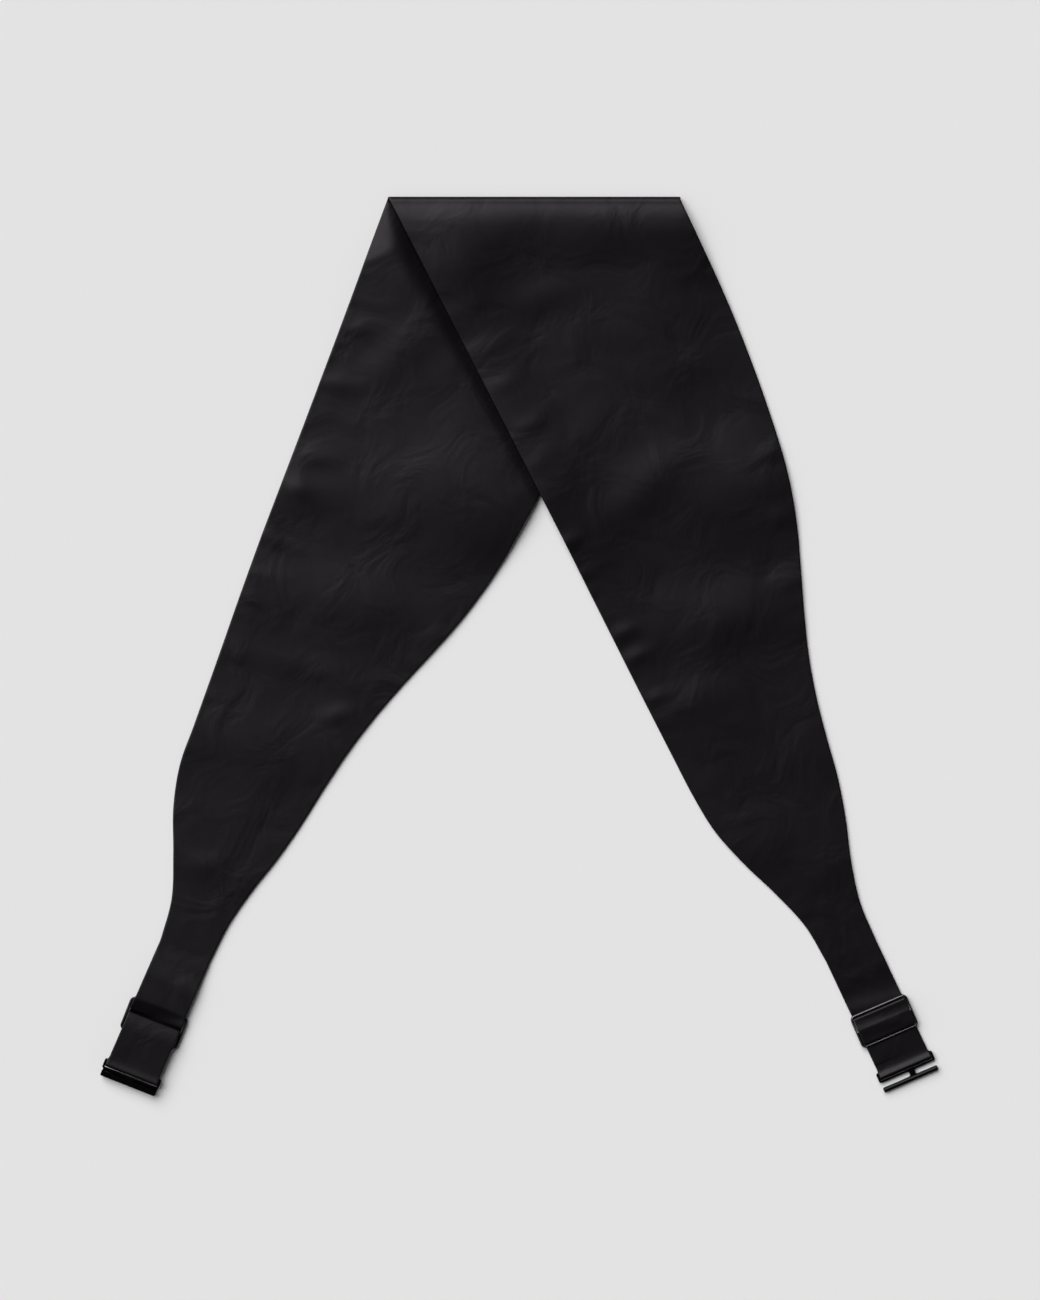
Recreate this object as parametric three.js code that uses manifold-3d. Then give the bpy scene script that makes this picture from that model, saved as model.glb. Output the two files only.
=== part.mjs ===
import * as THREE from 'three';
import { mergeVertices } from 'three/addons/utils/BufferGeometryUtils.js';
import Module from 'manifold-3d';

// A black satin cummerbund, folded once across its middle and laid flat.
// Millimetres, +Z up. Seen from above, +X runs to the right and +Y to the fold.
// The left leg lies on the table with its back up. The right leg crosses over it with
// its front up. Each leg narrows to a neck, and the neck carries a strap with a slider
// and one half of the fastening.

const degrees = Math.PI / 180;

// Sewn panel
const panelWidth = 137;
const panelThickness = 1.6;
const turnedEdge = 1.2;
const edgeFullness = 0.35;
const leftLegLength = 414.5;
const rightLegLength = 408;
const leftLean = 24.9 * degrees;
const rightLean = 22.8 * degrees;

// The fold, and the way the upper leg settles off the lower one
const foldHalfHeight = 1.3;
const foldReach = 2.4;
const foldSettle = 26;
const foldBulge = 1.2;
const foldCrest = 12;
const layerGap = 0.4;
const dropMargin = 1;
const dropWidth = 75;
const swellHeight = 2;

// The straps climb to their sliders and lift the ends of the necks
const neckRise = 45;
const leftLift = 1.2;
const rightLift = 0.35;

// Straps
const strapWidth = 27.2;
const strapThickness = 1;
const strapSkew = 1.85 * degrees;
const clearance = 0.3;
const leftSliderReach = 39.4;
const rightSliderReach = 38.8;
const leftTailLength = 26.6;
const rightTailLength = 24.4;
const leftHardwareTurn = 21.6 * degrees;
const rightHardwareTurn = 23.3 * degrees;

// Slider: a wire frame with a bar across its middle
const sliderWire = 1.45;
const sliderBarSpacing = 16.2;
const sliderCornerRadius = 2.6;

// Fastening: the eye that holds the strap is the same on both halves
const eyeBar = 1.1;
const eyeWall = 1.2;
const eyeBack = 1.8;
const eyeRail = 1.25;
const eyePlate = 1;
const eyeCornerRadius = 1;
const stemWidth = 3;
const stemFillet = 0.8;
const stemOffset = 2;
const tBarDiameter = 2.7;
const tBarLength = 29.4;
const tBarGap = 2.65;
const channelGap = 1.1;
const channelWall = 0.7;
const channelDepth = 2.75;
const channelLength = 29.1;
const channelLip = 1.1;
const channelNotch = 8.8;
const channelPlay = 0.4;
const channelStemWidth = 4.5;
const joinOverlap = 0.6;

const legSteps = 42;
const foldSteps = 5;
const crossSteps = 14;
const solvePasses = 8;
const liftSteps = 7;
const humpSteps = 10;
const runSteps = 6;
const roundSides = 12;
const loopSides = 18;
const wireSides = 8;
const cornerSteps = 4;

const satin = new THREE.MeshStandardMaterial({ color: 0x1b1a1d, roughness: 0.42, metalness: 0 });
const lacqueredSteel = new THREE.MeshStandardMaterial({ color: 0x141416, roughness: 0.25, metalness: 0.85 });

// The two long edges of each leg. along is a share of the leg's length from the fold.
// The other columns are how much of the panel's flare stands outside the strap's edge.
const edgeRows = [
  { along: -0.08, leftOuter: 1.06, leftInner: 0.958, rightOuter: 0.915, rightInner: 0.985 },
  { along: 0.08, leftOuter: 0.961, leftInner: 0.953, rightOuter: 0.97, rightInner: 0.895 },
  { along: 0.2, leftOuter: 0.885, leftInner: 0.948, rightOuter: 1.005, rightInner: 0.828 },
  { along: 0.3, leftOuter: 0.828, leftInner: 0.942, rightOuter: 0.992, rightInner: 0.773 },
  { along: 0.4, leftOuter: 0.773, leftInner: 0.895, rightOuter: 0.938, rightInner: 0.718 },
  { along: 0.45, leftOuter: 0.746, leftInner: 0.845, rightOuter: 0.88, rightInner: 0.693 },
  { along: 0.5, leftOuter: 0.72, leftInner: 0.763, rightOuter: 0.788, rightInner: 0.668 },
  { along: 0.55, leftOuter: 0.688, leftInner: 0.651, rightOuter: 0.666, rightInner: 0.643 },
  { along: 0.6, leftOuter: 0.653, leftInner: 0.531, rightOuter: 0.543, rightInner: 0.618 },
  { along: 0.65, leftOuter: 0.616, leftInner: 0.424, rightOuter: 0.434, rightInner: 0.591 },
  { along: 0.7, leftOuter: 0.581, leftInner: 0.339, rightOuter: 0.354, rightInner: 0.563 },
  { along: 0.75, leftOuter: 0.546, leftInner: 0.281, rightOuter: 0.299, rightInner: 0.533 },
  { along: 0.8, leftOuter: 0.511, leftInner: 0.234, rightOuter: 0.251, rightInner: 0.476 },
  { along: 0.85, leftOuter: 0.401, leftInner: 0.169, rightOuter: 0.171, rightInner: 0.349 },
  { along: 0.9, leftOuter: 0.226, leftInner: 0.079, rightOuter: 0.067, rightInner: 0.187 },
  { along: 0.95, leftOuter: 0.067, leftInner: 0.014, rightOuter: 0, rightInner: 0.052 },
  { along: 1, leftOuter: 0, leftInner: 0, rightOuter: 0, rightInner: 0 },
];

// Where the right leg's edge crosses the left leg's inner edge, and how soon the
// cross-lines of a leg have turned from the fold's direction to the strap's.
const crossingAlong = 0.322;
const fanAlong = 0.45;

// Low swells in the lying cloth. along is a share of the leg's length, across, span and
// breadth are shares of the panel's width, turn is in degrees from the fold's direction,
// and height is a share of swellHeight.
const swellRows = [
  { leg: 'left', along: 0.355, across: -0.15, span: 0.33, breadth: 0.21, turn: -8, height: 1.1 },
  { leg: 'left', along: 0.435, across: 0.286, span: 0.14, breadth: 0.09, turn: -15, height: 0.35 },
  { leg: 'left', along: 0.534, across: -0.006, span: 0.3, breadth: 0.115, turn: -11, height: 0.45 },
  { leg: 'left', along: 0.735, across: 0.03, span: 0.28, breadth: 0.12, turn: 3, height: 0.35 },
  { leg: 'right', along: 0.04, across: -0.362, span: 0.17, breadth: 0.16, turn: 8, height: 1.15 },
  { leg: 'right', along: 0.415, across: 0.17, span: 0.31, breadth: 0.2, turn: 0, height: 0.85 },
  { leg: 'right', along: 0.375, across: -0.03, span: 0.2, breadth: 0.08, turn: 42, height: 0.3 },
  { leg: 'right', along: 0.408, across: 0.315, span: 0.2, breadth: 0.08, turn: -38, height: 0.25 },
  { leg: 'right', along: 0.561, across: 0.023, span: 0.3, breadth: 0.115, turn: 8, height: 0.55 },
  { leg: 'right', along: 0.642, across: -0.179, span: 0.16, breadth: 0.08, turn: 22, height: 0.28 },
  { leg: 'right', along: 0.832, across: -0.164, span: 0.14, breadth: 0.09, turn: 10, height: 0.25 },
  { leg: 'right', along: 0.2, across: -0.36, span: 0.5, breadth: 0.12, turn: -63, height: 0.5 },
];

const legs = {
  left: {
    name: 'left',
    side: -1,
    length: leftLegLength,
    lean: leftLean,
    turn: leftHardwareTurn,
    lift: leftLift,
  },
  right: {
    name: 'right',
    side: 1,
    length: rightLegLength,
    lean: rightLean,
    turn: rightHardwareTurn,
    lift: rightLift,
  },
};

function smooth(share) {
  const t = Math.min(Math.max(share, 0), 1);
  return t * t * (3 - 2 * t);
}

// Smooth curve through one column of a table
function valueAt(rows, column, along) {
  let k = 0;
  while (k < rows.length - 2 && along > rows[k + 1].along) k += 1;
  const slope = (a, b) => (rows[b][column] - rows[a][column]) / (rows[b].along - rows[a].along);
  const step = rows[k + 1].along - rows[k].along;
  const before = slope(Math.max(k - 1, 0), k + 1);
  const after = slope(k, Math.min(k + 2, rows.length - 1));
  const t = Math.min(Math.max((along - rows[k].along) / step, 0), 1);
  const rise = rows[k + 1][column] - rows[k][column];
  const bend = t * (1 - t) * (1 - t) * (before * step - rise) - t * t * (1 - t) * (after * step - rise);
  return rows[k][column] + t * rise + bend;
}

// A point of a leg's plan: along in mm from the fold, across in mm from the leg's
// middle line, positive towards the outer edge.
function legPlan(leg, along, across) {
  const sine = Math.sin(leg.lean);
  const cosine = Math.cos(leg.lean);
  return new THREE.Vector2(leg.side * (sine * along + cosine * across), -cosine * along + sine * across);
}

function halfWidth(leg, edge, along) {
  const column = leg.name + (edge > 0 ? 'Outer' : 'Inner');
  return strapWidth / 2 + ((panelWidth - strapWidth) / 2) * valueAt(edgeRows, column, along);
}

// The end of a cross-line on one long edge, with share running from the fold to the neck
function edgePoint(leg, edge, share) {
  const slope = Math.tan(leg.lean - leg.turn * smooth(share / fanAlong));
  let along = share;
  for (let pass = 0; pass < solvePasses; pass += 1) {
    along = share + (edge * halfWidth(leg, edge, along) * slope) / leg.length;
  }
  return legPlan(leg, along * leg.length, edge * halfWidth(leg, edge, along));
}

// Height that the swells of one leg add at a place of the plan
function swellAt(leg, x, y) {
  let height = 0;
  for (const row of swellRows.filter((each) => each.leg === leg.name)) {
    const middle = legPlan(leg, row.along * leg.length, row.across * panelWidth);
    const turn = row.turn * degrees;
    const dx = x - middle.x;
    const dy = y - middle.y;
    const lengthwise = (dx * Math.cos(turn) + dy * Math.sin(turn)) / (row.span * panelWidth);
    const sideways = (dy * Math.cos(turn) - dx * Math.sin(turn)) / (row.breadth * panelWidth);
    height += row.height * swellHeight * Math.exp(-lengthwise * lengthwise - sideways * sideways);
  }
  return height;
}

// How far the upper leg is held up: 1 over the lower leg, 0 where it lies on the table
function stackShare(x, y) {
  const corner = edgePoint(legs.left, -1, 0);
  const crossing = legPlan(
    legs.left,
    crossingAlong * leftLegLength,
    -halfWidth(legs.left, -1, crossingAlong),
  );
  const line = crossing.clone().sub(corner).normalize();
  const beyond = -line.y * (x - corner.x) + line.x * (y - corner.y);
  return 1 - smooth((beyond - dropMargin) / dropWidth);
}

// Height of the middle of the cloth
function clothHeight(leg, x, y) {
  const down = Math.max(-y, 0);
  const bare = smooth(down / (4 * foldReach));
  const nose = Math.max(1 - down / foldReach, 0);
  const roll = foldHalfHeight * (1 - Math.sqrt(1 - nose * nose));
  const floor = panelThickness / 2;
  const lowerSwell = bare * swellAt(legs.left, x, y);
  if (leg.side < 0) return floor + roll + lowerSwell;
  const pitch = panelThickness + layerGap;
  const settle = Math.max(down - foldReach, 0) / foldSettle;
  const crest = Math.max(down - foldReach, 0) / foldCrest;
  const bulge = foldBulge * crest * Math.exp(1 - crest);
  const rise = pitch + (2 * foldHalfHeight - pitch) * Math.exp(-settle * settle) + bulge;
  return floor - roll + stackShare(x, y) * (rise + lowerSwell) + bare * swellAt(leg, x, y);
}

// How far the neck stands off the table, because its strap climbs to the slider
function neckHeight(leg, along) {
  const climb = Math.max(1 - (leg.length - along) / neckRise, 0);
  return leg.lift * climb * climb;
}

// One cross-line of the cloth's middle, from the band's first edge to its second
function crossLine(leg, share) {
  const first = edgePoint(leg, -leg.side, share);
  const second = edgePoint(leg, leg.side, share);
  const inset = turnedEdge / first.distanceTo(second);
  const shares = [0];
  for (let k = 0; k <= crossSteps; k += 1) shares.push(inset + (1 - 2 * inset) * (k / crossSteps));
  shares.push(1);
  const neck = neckHeight(leg, share * leg.length);
  return shares.map((each) => {
    const place = first.clone().lerp(second, each);
    return new THREE.Vector3(place.x, place.y, clothHeight(leg, place.x, place.y) + neck);
  });
}

// Cross-lines of one leg, from just below the fold to the end of the neck
function legLines(leg) {
  const lines = [];
  const foldShare = foldReach / (leg.length * Math.cos(leg.lean));
  for (let k = 1; k <= foldSteps; k += 1) {
    lines.push(crossLine(leg, foldShare * (1 - Math.cos((k / foldSteps) * (Math.PI / 2)))));
  }
  for (let k = 1; k <= legSteps; k += 1) {
    lines.push(crossLine(leg, foldShare + (1 - foldShare) * (k / legSteps)));
  }
  return lines;
}

// A closed sheet of cloth around a grid of points, thinner at its turned long edges
function sheetSolid(lines, thickness) {
  const columns = lines[0].length;
  const above = [];
  const below = [];
  lines.forEach((line, row) => {
    line.forEach((point, column) => {
      const next = lines[Math.min(row + 1, lines.length - 1)][column];
      const last = lines[Math.max(row - 1, 0)][column];
      const right = line[Math.min(column + 1, columns - 1)];
      const left = line[Math.max(column - 1, 0)];
      const normal = right.clone().sub(left).cross(next.clone().sub(last)).normalize();
      const edge = column === 0 || column === columns - 1;
      const half = (edge ? edgeFullness : 1) * (thickness / 2);
      above.push(point.clone().addScaledVector(normal, half));
      below.push(point.clone().addScaledVector(normal, -half));
    });
  });
  const faces = [];
  const quad = (a, b, c, d) => faces.push(a, b, c, a, c, d);
  const under = above.length;
  const lastColumn = columns - 1;
  const lastRow = (lines.length - 1) * columns;
  for (let row = 0; row < lines.length - 1; row += 1) {
    const here = row * columns;
    const there = here + columns;
    for (let k = 0; k < lastColumn; k += 1) {
      quad(here + k, here + k + 1, there + k + 1, there + k);
      quad(under + here + k, under + there + k, under + there + k + 1, under + here + k + 1);
    }
    quad(here, there, under + there, under + here);
    quad(here + lastColumn, under + here + lastColumn, under + there + lastColumn, there + lastColumn);
  }
  for (let k = 0; k < lastColumn; k += 1) {
    quad(k, under + k, under + k + 1, k + 1);
    quad(lastRow + k, lastRow + k + 1, under + lastRow + k + 1, under + lastRow + k);
  }
  const geometry = new THREE.BufferGeometry().setFromPoints([...above, ...below]);
  geometry.setIndex(faces);
  geometry.computeVertexNormals();
  return geometry;
}

function bandGeometry() {
  const left = legLines(legs.left);
  const right = legLines(legs.right);
  const leftFold = crossLine(legs.left, 0);
  const rightFold = crossLine(legs.right, 0);
  const fold = leftFold.map((point, k) => point.clone().lerp(rightFold[k], 0.5));
  return sheetSolid([...left.reverse(), fold, ...right], panelThickness);
}

const wasm = await Module();
wasm.setup();

function toSolid(geometry) {
  const bare = geometry.clone();
  bare.deleteAttribute('normal');
  bare.deleteAttribute('uv');
  const merged = mergeVertices(bare, 1e-4);
  return new wasm.Manifold(
    new wasm.Mesh({
      numProp: 3,
      vertProperties: new Float32Array(merged.attributes.position.array),
      triVerts: new Uint32Array(merged.index.array),
    }),
  );
}

function joined(geometries) {
  const solid = geometries.map(toSolid).reduce((whole, each) => whole.add(each));
  const { vertProperties, triVerts } = solid.getMesh();
  const geometry = new THREE.BufferGeometry();
  geometry.setAttribute('position', new THREE.BufferAttribute(new Float32Array(vertProperties), 3));
  geometry.setIndex(new THREE.BufferAttribute(new Uint32Array(triVerts), 1));
  geometry.computeVertexNormals();
  return geometry;
}

// In what follows each end has its own axes: X from the neck towards the fastening,
// square to the bars, Y along the bars, Z up.

// Bars of the slider and eyes, the loop of strap round a bar, and the strap over it
const sliderBarRadius = sliderWire / 2;
const loopRadius = (bar) => bar / 2 + clearance + strapThickness / 2;
const layerPitch = strapThickness + clearance;
const sliderHump = loopRadius(sliderWire) + layerPitch;
const sliderTuck = loopRadius(sliderWire);
const sliderHeight = sliderTuck + layerPitch + strapThickness / 2;
const eyeSlot = loopRadius(eyeBar) + strapThickness / 2 + clearance;
const eyeEdge = eyeSlot + eyeRail;
const channelHeight = tBarDiameter + channelPlay + 2 * channelWall;

// How each strap lies: which face is up, where its slider sits and how far on the hook is
const tails = {
  left: {
    facing: -1,
    reach: leftSliderReach,
    tail: leftTailLength,
    eyeHeight: channelHeight - eyePlate / 2,
  },
  right: {
    facing: 1,
    reach: rightSliderReach,
    tail: rightTailLength,
    eyeHeight: loopRadius(eyeBar) + strapThickness / 2,
  },
};

function easedPoints(from, to, steps) {
  const points = [];
  for (let k = 1; k <= steps; k += 1) {
    const share = k / steps;
    points.push(new THREE.Vector2(
      from.x + (to.x - from.x) * share,
      from.y + (to.y - from.y) * smooth(share),
    ));
  }
  return points;
}

// Points from a start where the line has a slope to a finish where it is level
function climbingPoints(from, to, slope, steps) {
  const run = to.x - from.x;
  const points = [];
  for (let k = 1; k <= steps; k += 1) {
    const share = k / steps;
    const bend = slope * run * share * (1 - share) * (1 - share);
    points.push(new THREE.Vector2(
      from.x + run * share,
      from.y + (to.y - from.y) * smooth(share) + bend,
    ));
  }
  return points;
}

function arcPoints(centre, radius, from, to, steps) {
  const points = [];
  for (let k = 1; k <= steps; k += 1) {
    const angle = (from + (to - from) * (k / steps)) * degrees;
    points.push(new THREE.Vector2(
      centre.x + radius * Math.cos(angle),
      centre.y + radius * Math.sin(angle),
    ));
  }
  return points;
}

// The middle of the strap seen from its edge, front up and measured from the slider's
// bars: under the first bar, over the middle one, under the last, round the eye's bar
// and back below to the middle bar, which holds the strap's sewn end.
function strapPath(end) {
  const { facing, reach, tail, eyeHeight } = tails[end];
  const halfSpacing = sliderBarSpacing / 2;
  const local = (height) => (height - sliderHeight) * facing;
  const { lift } = legs[end];
  const start = new THREE.Vector2(clearance, local(panelThickness / 2 + lift));
  const slope = ((2 * lift) / neckRise) * facing;
  const firstBar = new THREE.Vector2(reach - halfSpacing, -sliderTuck);
  const middle = new THREE.Vector2(reach, 0);
  const eye = new THREE.Vector2(reach + tail, local(eyeHeight));
  const path = [start, ...climbingPoints(start, firstBar, slope, liftSteps)];
  for (let k = 1; k <= humpSteps; k += 1) {
    const share = (2 * k) / humpSteps - 1;
    const wave = (1 + Math.cos(Math.PI * share)) / 2;
    path.push(new THREE.Vector2(
      middle.x + share * halfSpacing,
      -sliderTuck + (sliderHump + sliderTuck) * wave,
    ));
  }
  const lastBar = path[path.length - 1];
  path.push(...easedPoints(lastBar, new THREE.Vector2(eye.x, eye.y + loopRadius(eyeBar)), runSteps));
  path.push(...arcPoints(eye, loopRadius(eyeBar), 90, -90, roundSides));
  const under = new THREE.Vector2(middle.x + halfSpacing, -sliderTuck - layerPitch);
  path.push(...easedPoints(path[path.length - 1], under, runSteps));
  path.push(...easedPoints(under, new THREE.Vector2(middle.x, -sliderTuck), runSteps));
  path.push(...arcPoints(middle, loopRadius(sliderWire), -90, -350, loopSides));
  return path.map((point) => new THREE.Vector2(point.x, sliderHeight + facing * point.y));
}

// A strip of even thickness along a path, pushed out to the strap's width and leaned
// so that its middle line runs at the strap's skew to the bars
function strapGeometry(end) {
  const path = strapPath(end);
  const upper = [];
  const lower = [];
  path.forEach((point, k) => {
    const ahead = path[Math.min(k + 1, path.length - 1)];
    const behind = path[Math.max(k - 1, 0)];
    const tangent = ahead.clone().sub(behind).normalize();
    const half = strapThickness / 2;
    upper.push(new THREE.Vector2(point.x - tangent.y * half, point.y + tangent.x * half));
    lower.push(new THREE.Vector2(point.x + tangent.y * half, point.y - tangent.x * half));
  });
  const shape = new THREE.Shape([...upper, ...lower.reverse()]);
  const geometry = new THREE.ExtrudeGeometry(shape, { depth: strapWidth, bevelEnabled: false, steps: 1 });
  geometry.rotateX(Math.PI / 2);
  geometry.translate(0, strapWidth / 2, 0);
  const lean = new THREE.Matrix4().makeShear(Math.tan(legs[end].side * strapSkew), 0, 0, 0, 0, 0);
  return geometry.applyMatrix4(lean);
}

// A round wire bent into a closed rectangle with round corners
function wireLoop(length, width, cornerRadius, wire) {
  const points = [];
  for (let corner = 0; corner < 4; corner += 1) {
    const alongX = corner === 0 || corner === 3 ? 1 : -1;
    const alongY = corner < 2 ? 1 : -1;
    const centre = new THREE.Vector2(
      alongX * (length / 2 - cornerRadius),
      alongY * (width / 2 - cornerRadius),
    );
    const first = corner * 90 - 90 / cornerSteps;
    points.push(...arcPoints(centre, cornerRadius, first, corner * 90 + 90, cornerSteps + 1));
  }
  const positions = [];
  points.forEach((point, k) => {
    const ahead = points[(k + 1) % points.length];
    const behind = points[(k + points.length - 1) % points.length];
    const tangent = ahead.clone().sub(behind).normalize();
    for (let side = 0; side < wireSides; side += 1) {
      const angle = ((side + 0.5) / wireSides) * 2 * Math.PI;
      const outward = (wire / 2) * Math.cos(angle);
      positions.push(
        point.x + tangent.y * outward,
        point.y - tangent.x * outward,
        (wire / 2) * Math.sin(angle),
      );
    }
  });
  const faces = [];
  for (let k = 0; k < points.length; k += 1) {
    for (let side = 0; side < wireSides; side += 1) {
      const next = (side + 1) % wireSides;
      const ring = k * wireSides;
      const following = ((k + 1) % points.length) * wireSides;
      faces.push(ring + side, following + side, following + next);
      faces.push(ring + side, following + next, ring + next);
    }
  }
  const geometry = new THREE.BufferGeometry();
  geometry.setAttribute('position', new THREE.Float32BufferAttribute(positions, 3));
  geometry.setIndex(faces);
  geometry.computeVertexNormals();
  return geometry;
}

function crossBar(length, diameter, x) {
  return new THREE.CylinderGeometry(diameter / 2, diameter / 2, length, wireSides).translate(x, 0, 0);
}

function sliderGeometry() {
  const width = strapWidth + 2 * clearance + sliderWire;
  return joined([
    wireLoop(sliderBarSpacing, width, sliderCornerRadius - sliderBarRadius, sliderWire),
    crossBar(width, sliderWire, 0),
  ]);
}

function slab(shape, thickness) {
  const geometry = new THREE.ExtrudeGeometry(shape, {
    depth: thickness,
    bevelEnabled: false,
    curveSegments: 4,
    steps: 1,
  });
  return geometry.translate(0, 0, -thickness / 2);
}

// The eye's side walls and outer rail, open towards the slider, with X = 0 on its bar
function eyePlateGeometry() {
  const inner = strapWidth / 2 + clearance;
  const outer = inner + eyeWall;
  const back = -eyeBack;
  const corner = eyeCornerRadius;
  const shape = new THREE.Shape();
  shape.moveTo(back + corner, -outer);
  shape.lineTo(eyeEdge - corner, -outer);
  shape.absarc(eyeEdge - corner, -outer + corner, corner, -Math.PI / 2, 0);
  shape.lineTo(eyeEdge, outer - corner);
  shape.absarc(eyeEdge - corner, outer - corner, corner, 0, Math.PI / 2);
  shape.lineTo(back + corner, outer);
  shape.absarc(back + corner, outer - corner, corner, Math.PI / 2, Math.PI);
  shape.lineTo(back, inner);
  shape.lineTo(eyeSlot, inner);
  shape.lineTo(eyeSlot, -inner);
  shape.lineTo(back, -inner);
  shape.lineTo(back, -outer + corner);
  shape.absarc(back + corner, -outer + corner, corner, Math.PI, 1.5 * Math.PI);
  return slab(shape, eyePlate);
}

// The short neck of metal across the slot between the rail and what hooks in, with round
// corners at both sides of the slot
function stemGeometry(width, gap, fillet, thickness) {
  const shape = new THREE.Shape();
  const near = eyeEdge - joinOverlap;
  const slotEnd = eyeEdge + gap;
  const far = slotEnd + joinOverlap;
  const half = width / 2;
  const corner = (x, y, from, to) => shape.absarc(x, y, fillet, from * degrees, to * degrees, true);
  shape.moveTo(near, -half - fillet);
  corner(eyeEdge + fillet, -half - fillet, 180, 90);
  corner(slotEnd - fillet, -half - fillet, 90, 0);
  shape.lineTo(far, -half - fillet);
  shape.lineTo(far, half + fillet);
  corner(slotEnd - fillet, half + fillet, 0, -90);
  corner(eyeEdge + fillet, half + fillet, -90, -180);
  shape.lineTo(near, half + fillet);
  return slab(shape, thickness);
}

function eyeBarGeometry() {
  return crossBar(strapWidth + 2 * clearance + eyeWall, eyeBar, 0);
}

function tBarHookGeometry() {
  const radius = tBarDiameter / 2;
  const bar = new THREE.CapsuleGeometry(radius, tBarLength - tBarDiameter, 3, roundSides);
  bar.translate(eyeEdge + tBarGap + radius, 0, 0);
  return joined([
    eyePlateGeometry(),
    eyeBarGeometry(),
    stemGeometry(stemWidth, tBarGap, stemFillet, eyePlate).translate(0, stemOffset, 0),
    bar,
  ]);
}

// A channel that opens towards the strap. Its outer wall and floor are cut away in the
// middle for the stem of the T-bar, the floor's lip runs through under the slot, and the
// channel hangs below the eye's plate.
function channelHookGeometry() {
  const top = eyePlate / 2;
  const bottom = top - channelHeight;
  const near = eyeEdge + channelGap;
  const far = near + channelDepth;
  const wall = (from, to, low, high, length, middle) => new THREE.BoxGeometry(
    to - from,
    length,
    high - low,
  ).translate((from + to) / 2, middle, (low + high) / 2);
  const wing = (channelLength - channelNotch) / 2;
  const pieces = [
    eyePlateGeometry(),
    eyeBarGeometry(),
    wall(near, far, top - channelWall, top, channelLength, 0),
    wall(near - channelLip, near + channelWall, bottom, bottom + channelWall, channelLength, 0),
    stemGeometry(channelStemWidth, channelGap, stemFillet / 2, channelWall)
      .translate(0, 0, top - channelWall / 2),
  ];
  for (const side of [-1, 1]) {
    const middle = (side * (channelNotch + wing)) / 2;
    pieces.push(wall(far - channelWall, far, bottom, top, wing, middle));
    pieces.push(wall(near, far, bottom, bottom + channelWall, wing, middle));
  }
  return joined(pieces);
}

function addMesh(parent, name, geometry, material, place) {
  const mesh = new THREE.Mesh(geometry, material);
  mesh.name = name;
  if (place) mesh.position.copy(place);
  parent.add(mesh);
}

function endGroup(end) {
  const leg = legs[end];
  const { reach, tail, eyeHeight } = tails[end];
  const neck = legPlan(leg, leg.length, 0);
  const group = new THREE.Group();
  group.position.set(neck.x, neck.y, 0);
  group.rotation.z = -Math.PI / 2 + leg.side * leg.turn;
  const sideways = (x) => x * Math.tan(leg.side * strapSkew);
  const eyeX = reach + tail;
  addMesh(group, `strap_${end}`, strapGeometry(end), satin);
  addMesh(group, `slider_${end}`, sliderGeometry(), lacqueredSteel,
    new THREE.Vector3(reach, sideways(reach), sliderHeight));
  const [hook, shape] = end === 'right'
    ? ['t_bar_hook', tBarHookGeometry()]
    : ['channel_hook', channelHookGeometry()];
  addMesh(group, hook, shape, lacqueredSteel, new THREE.Vector3(eyeX, sideways(eyeX), eyeHeight));
  return group;
}

const cummerbund = new THREE.Group();
addMesh(cummerbund, 'band', bandGeometry(), satin);
cummerbund.add(endGroup('left'), endGroup('right'));

// The origin is under the middle of the whole
cummerbund.updateMatrixWorld(true);
const extent = new THREE.Box3().setFromObject(cummerbund, true);
const middle = extent.getCenter(new THREE.Vector3());
cummerbund.position.set(-middle.x, -middle.y, -extent.min.z);

export default cummerbund;
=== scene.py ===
"""A black satin cummerbund, folded once across its middle and lying flat on a pale table."""

import math
from dataclasses import dataclass

import bmesh
import bpy
import numpy as np
from bpy.props import FloatProperty, FloatVectorProperty, PointerProperty
from mathutils import Matrix, Vector


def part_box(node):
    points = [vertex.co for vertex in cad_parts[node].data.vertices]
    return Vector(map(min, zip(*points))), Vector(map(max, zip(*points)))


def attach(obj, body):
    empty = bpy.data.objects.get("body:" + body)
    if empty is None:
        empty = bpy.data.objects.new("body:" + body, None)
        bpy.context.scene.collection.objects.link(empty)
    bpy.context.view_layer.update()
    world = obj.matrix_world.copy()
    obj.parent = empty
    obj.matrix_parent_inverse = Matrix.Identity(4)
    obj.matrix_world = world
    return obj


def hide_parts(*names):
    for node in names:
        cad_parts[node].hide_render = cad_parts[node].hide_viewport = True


bl_info = {
    "name": "Folded Cummerbund",
    "version": (1, 0, 0),
    "blender": (4, 5, 0),
    "location": "3D View > Sidebar > Cummerbund",
    "description": "Builds a black satin cummerbund with its straps, sliders and two hooks",
    "category": "Object",
}

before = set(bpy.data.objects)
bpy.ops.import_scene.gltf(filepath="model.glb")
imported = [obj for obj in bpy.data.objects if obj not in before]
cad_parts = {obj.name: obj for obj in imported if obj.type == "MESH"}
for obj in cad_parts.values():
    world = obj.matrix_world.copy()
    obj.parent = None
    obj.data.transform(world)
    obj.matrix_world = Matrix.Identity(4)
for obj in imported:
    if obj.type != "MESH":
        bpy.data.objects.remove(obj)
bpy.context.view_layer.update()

MM = 0.001
BODY = "root"

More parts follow.
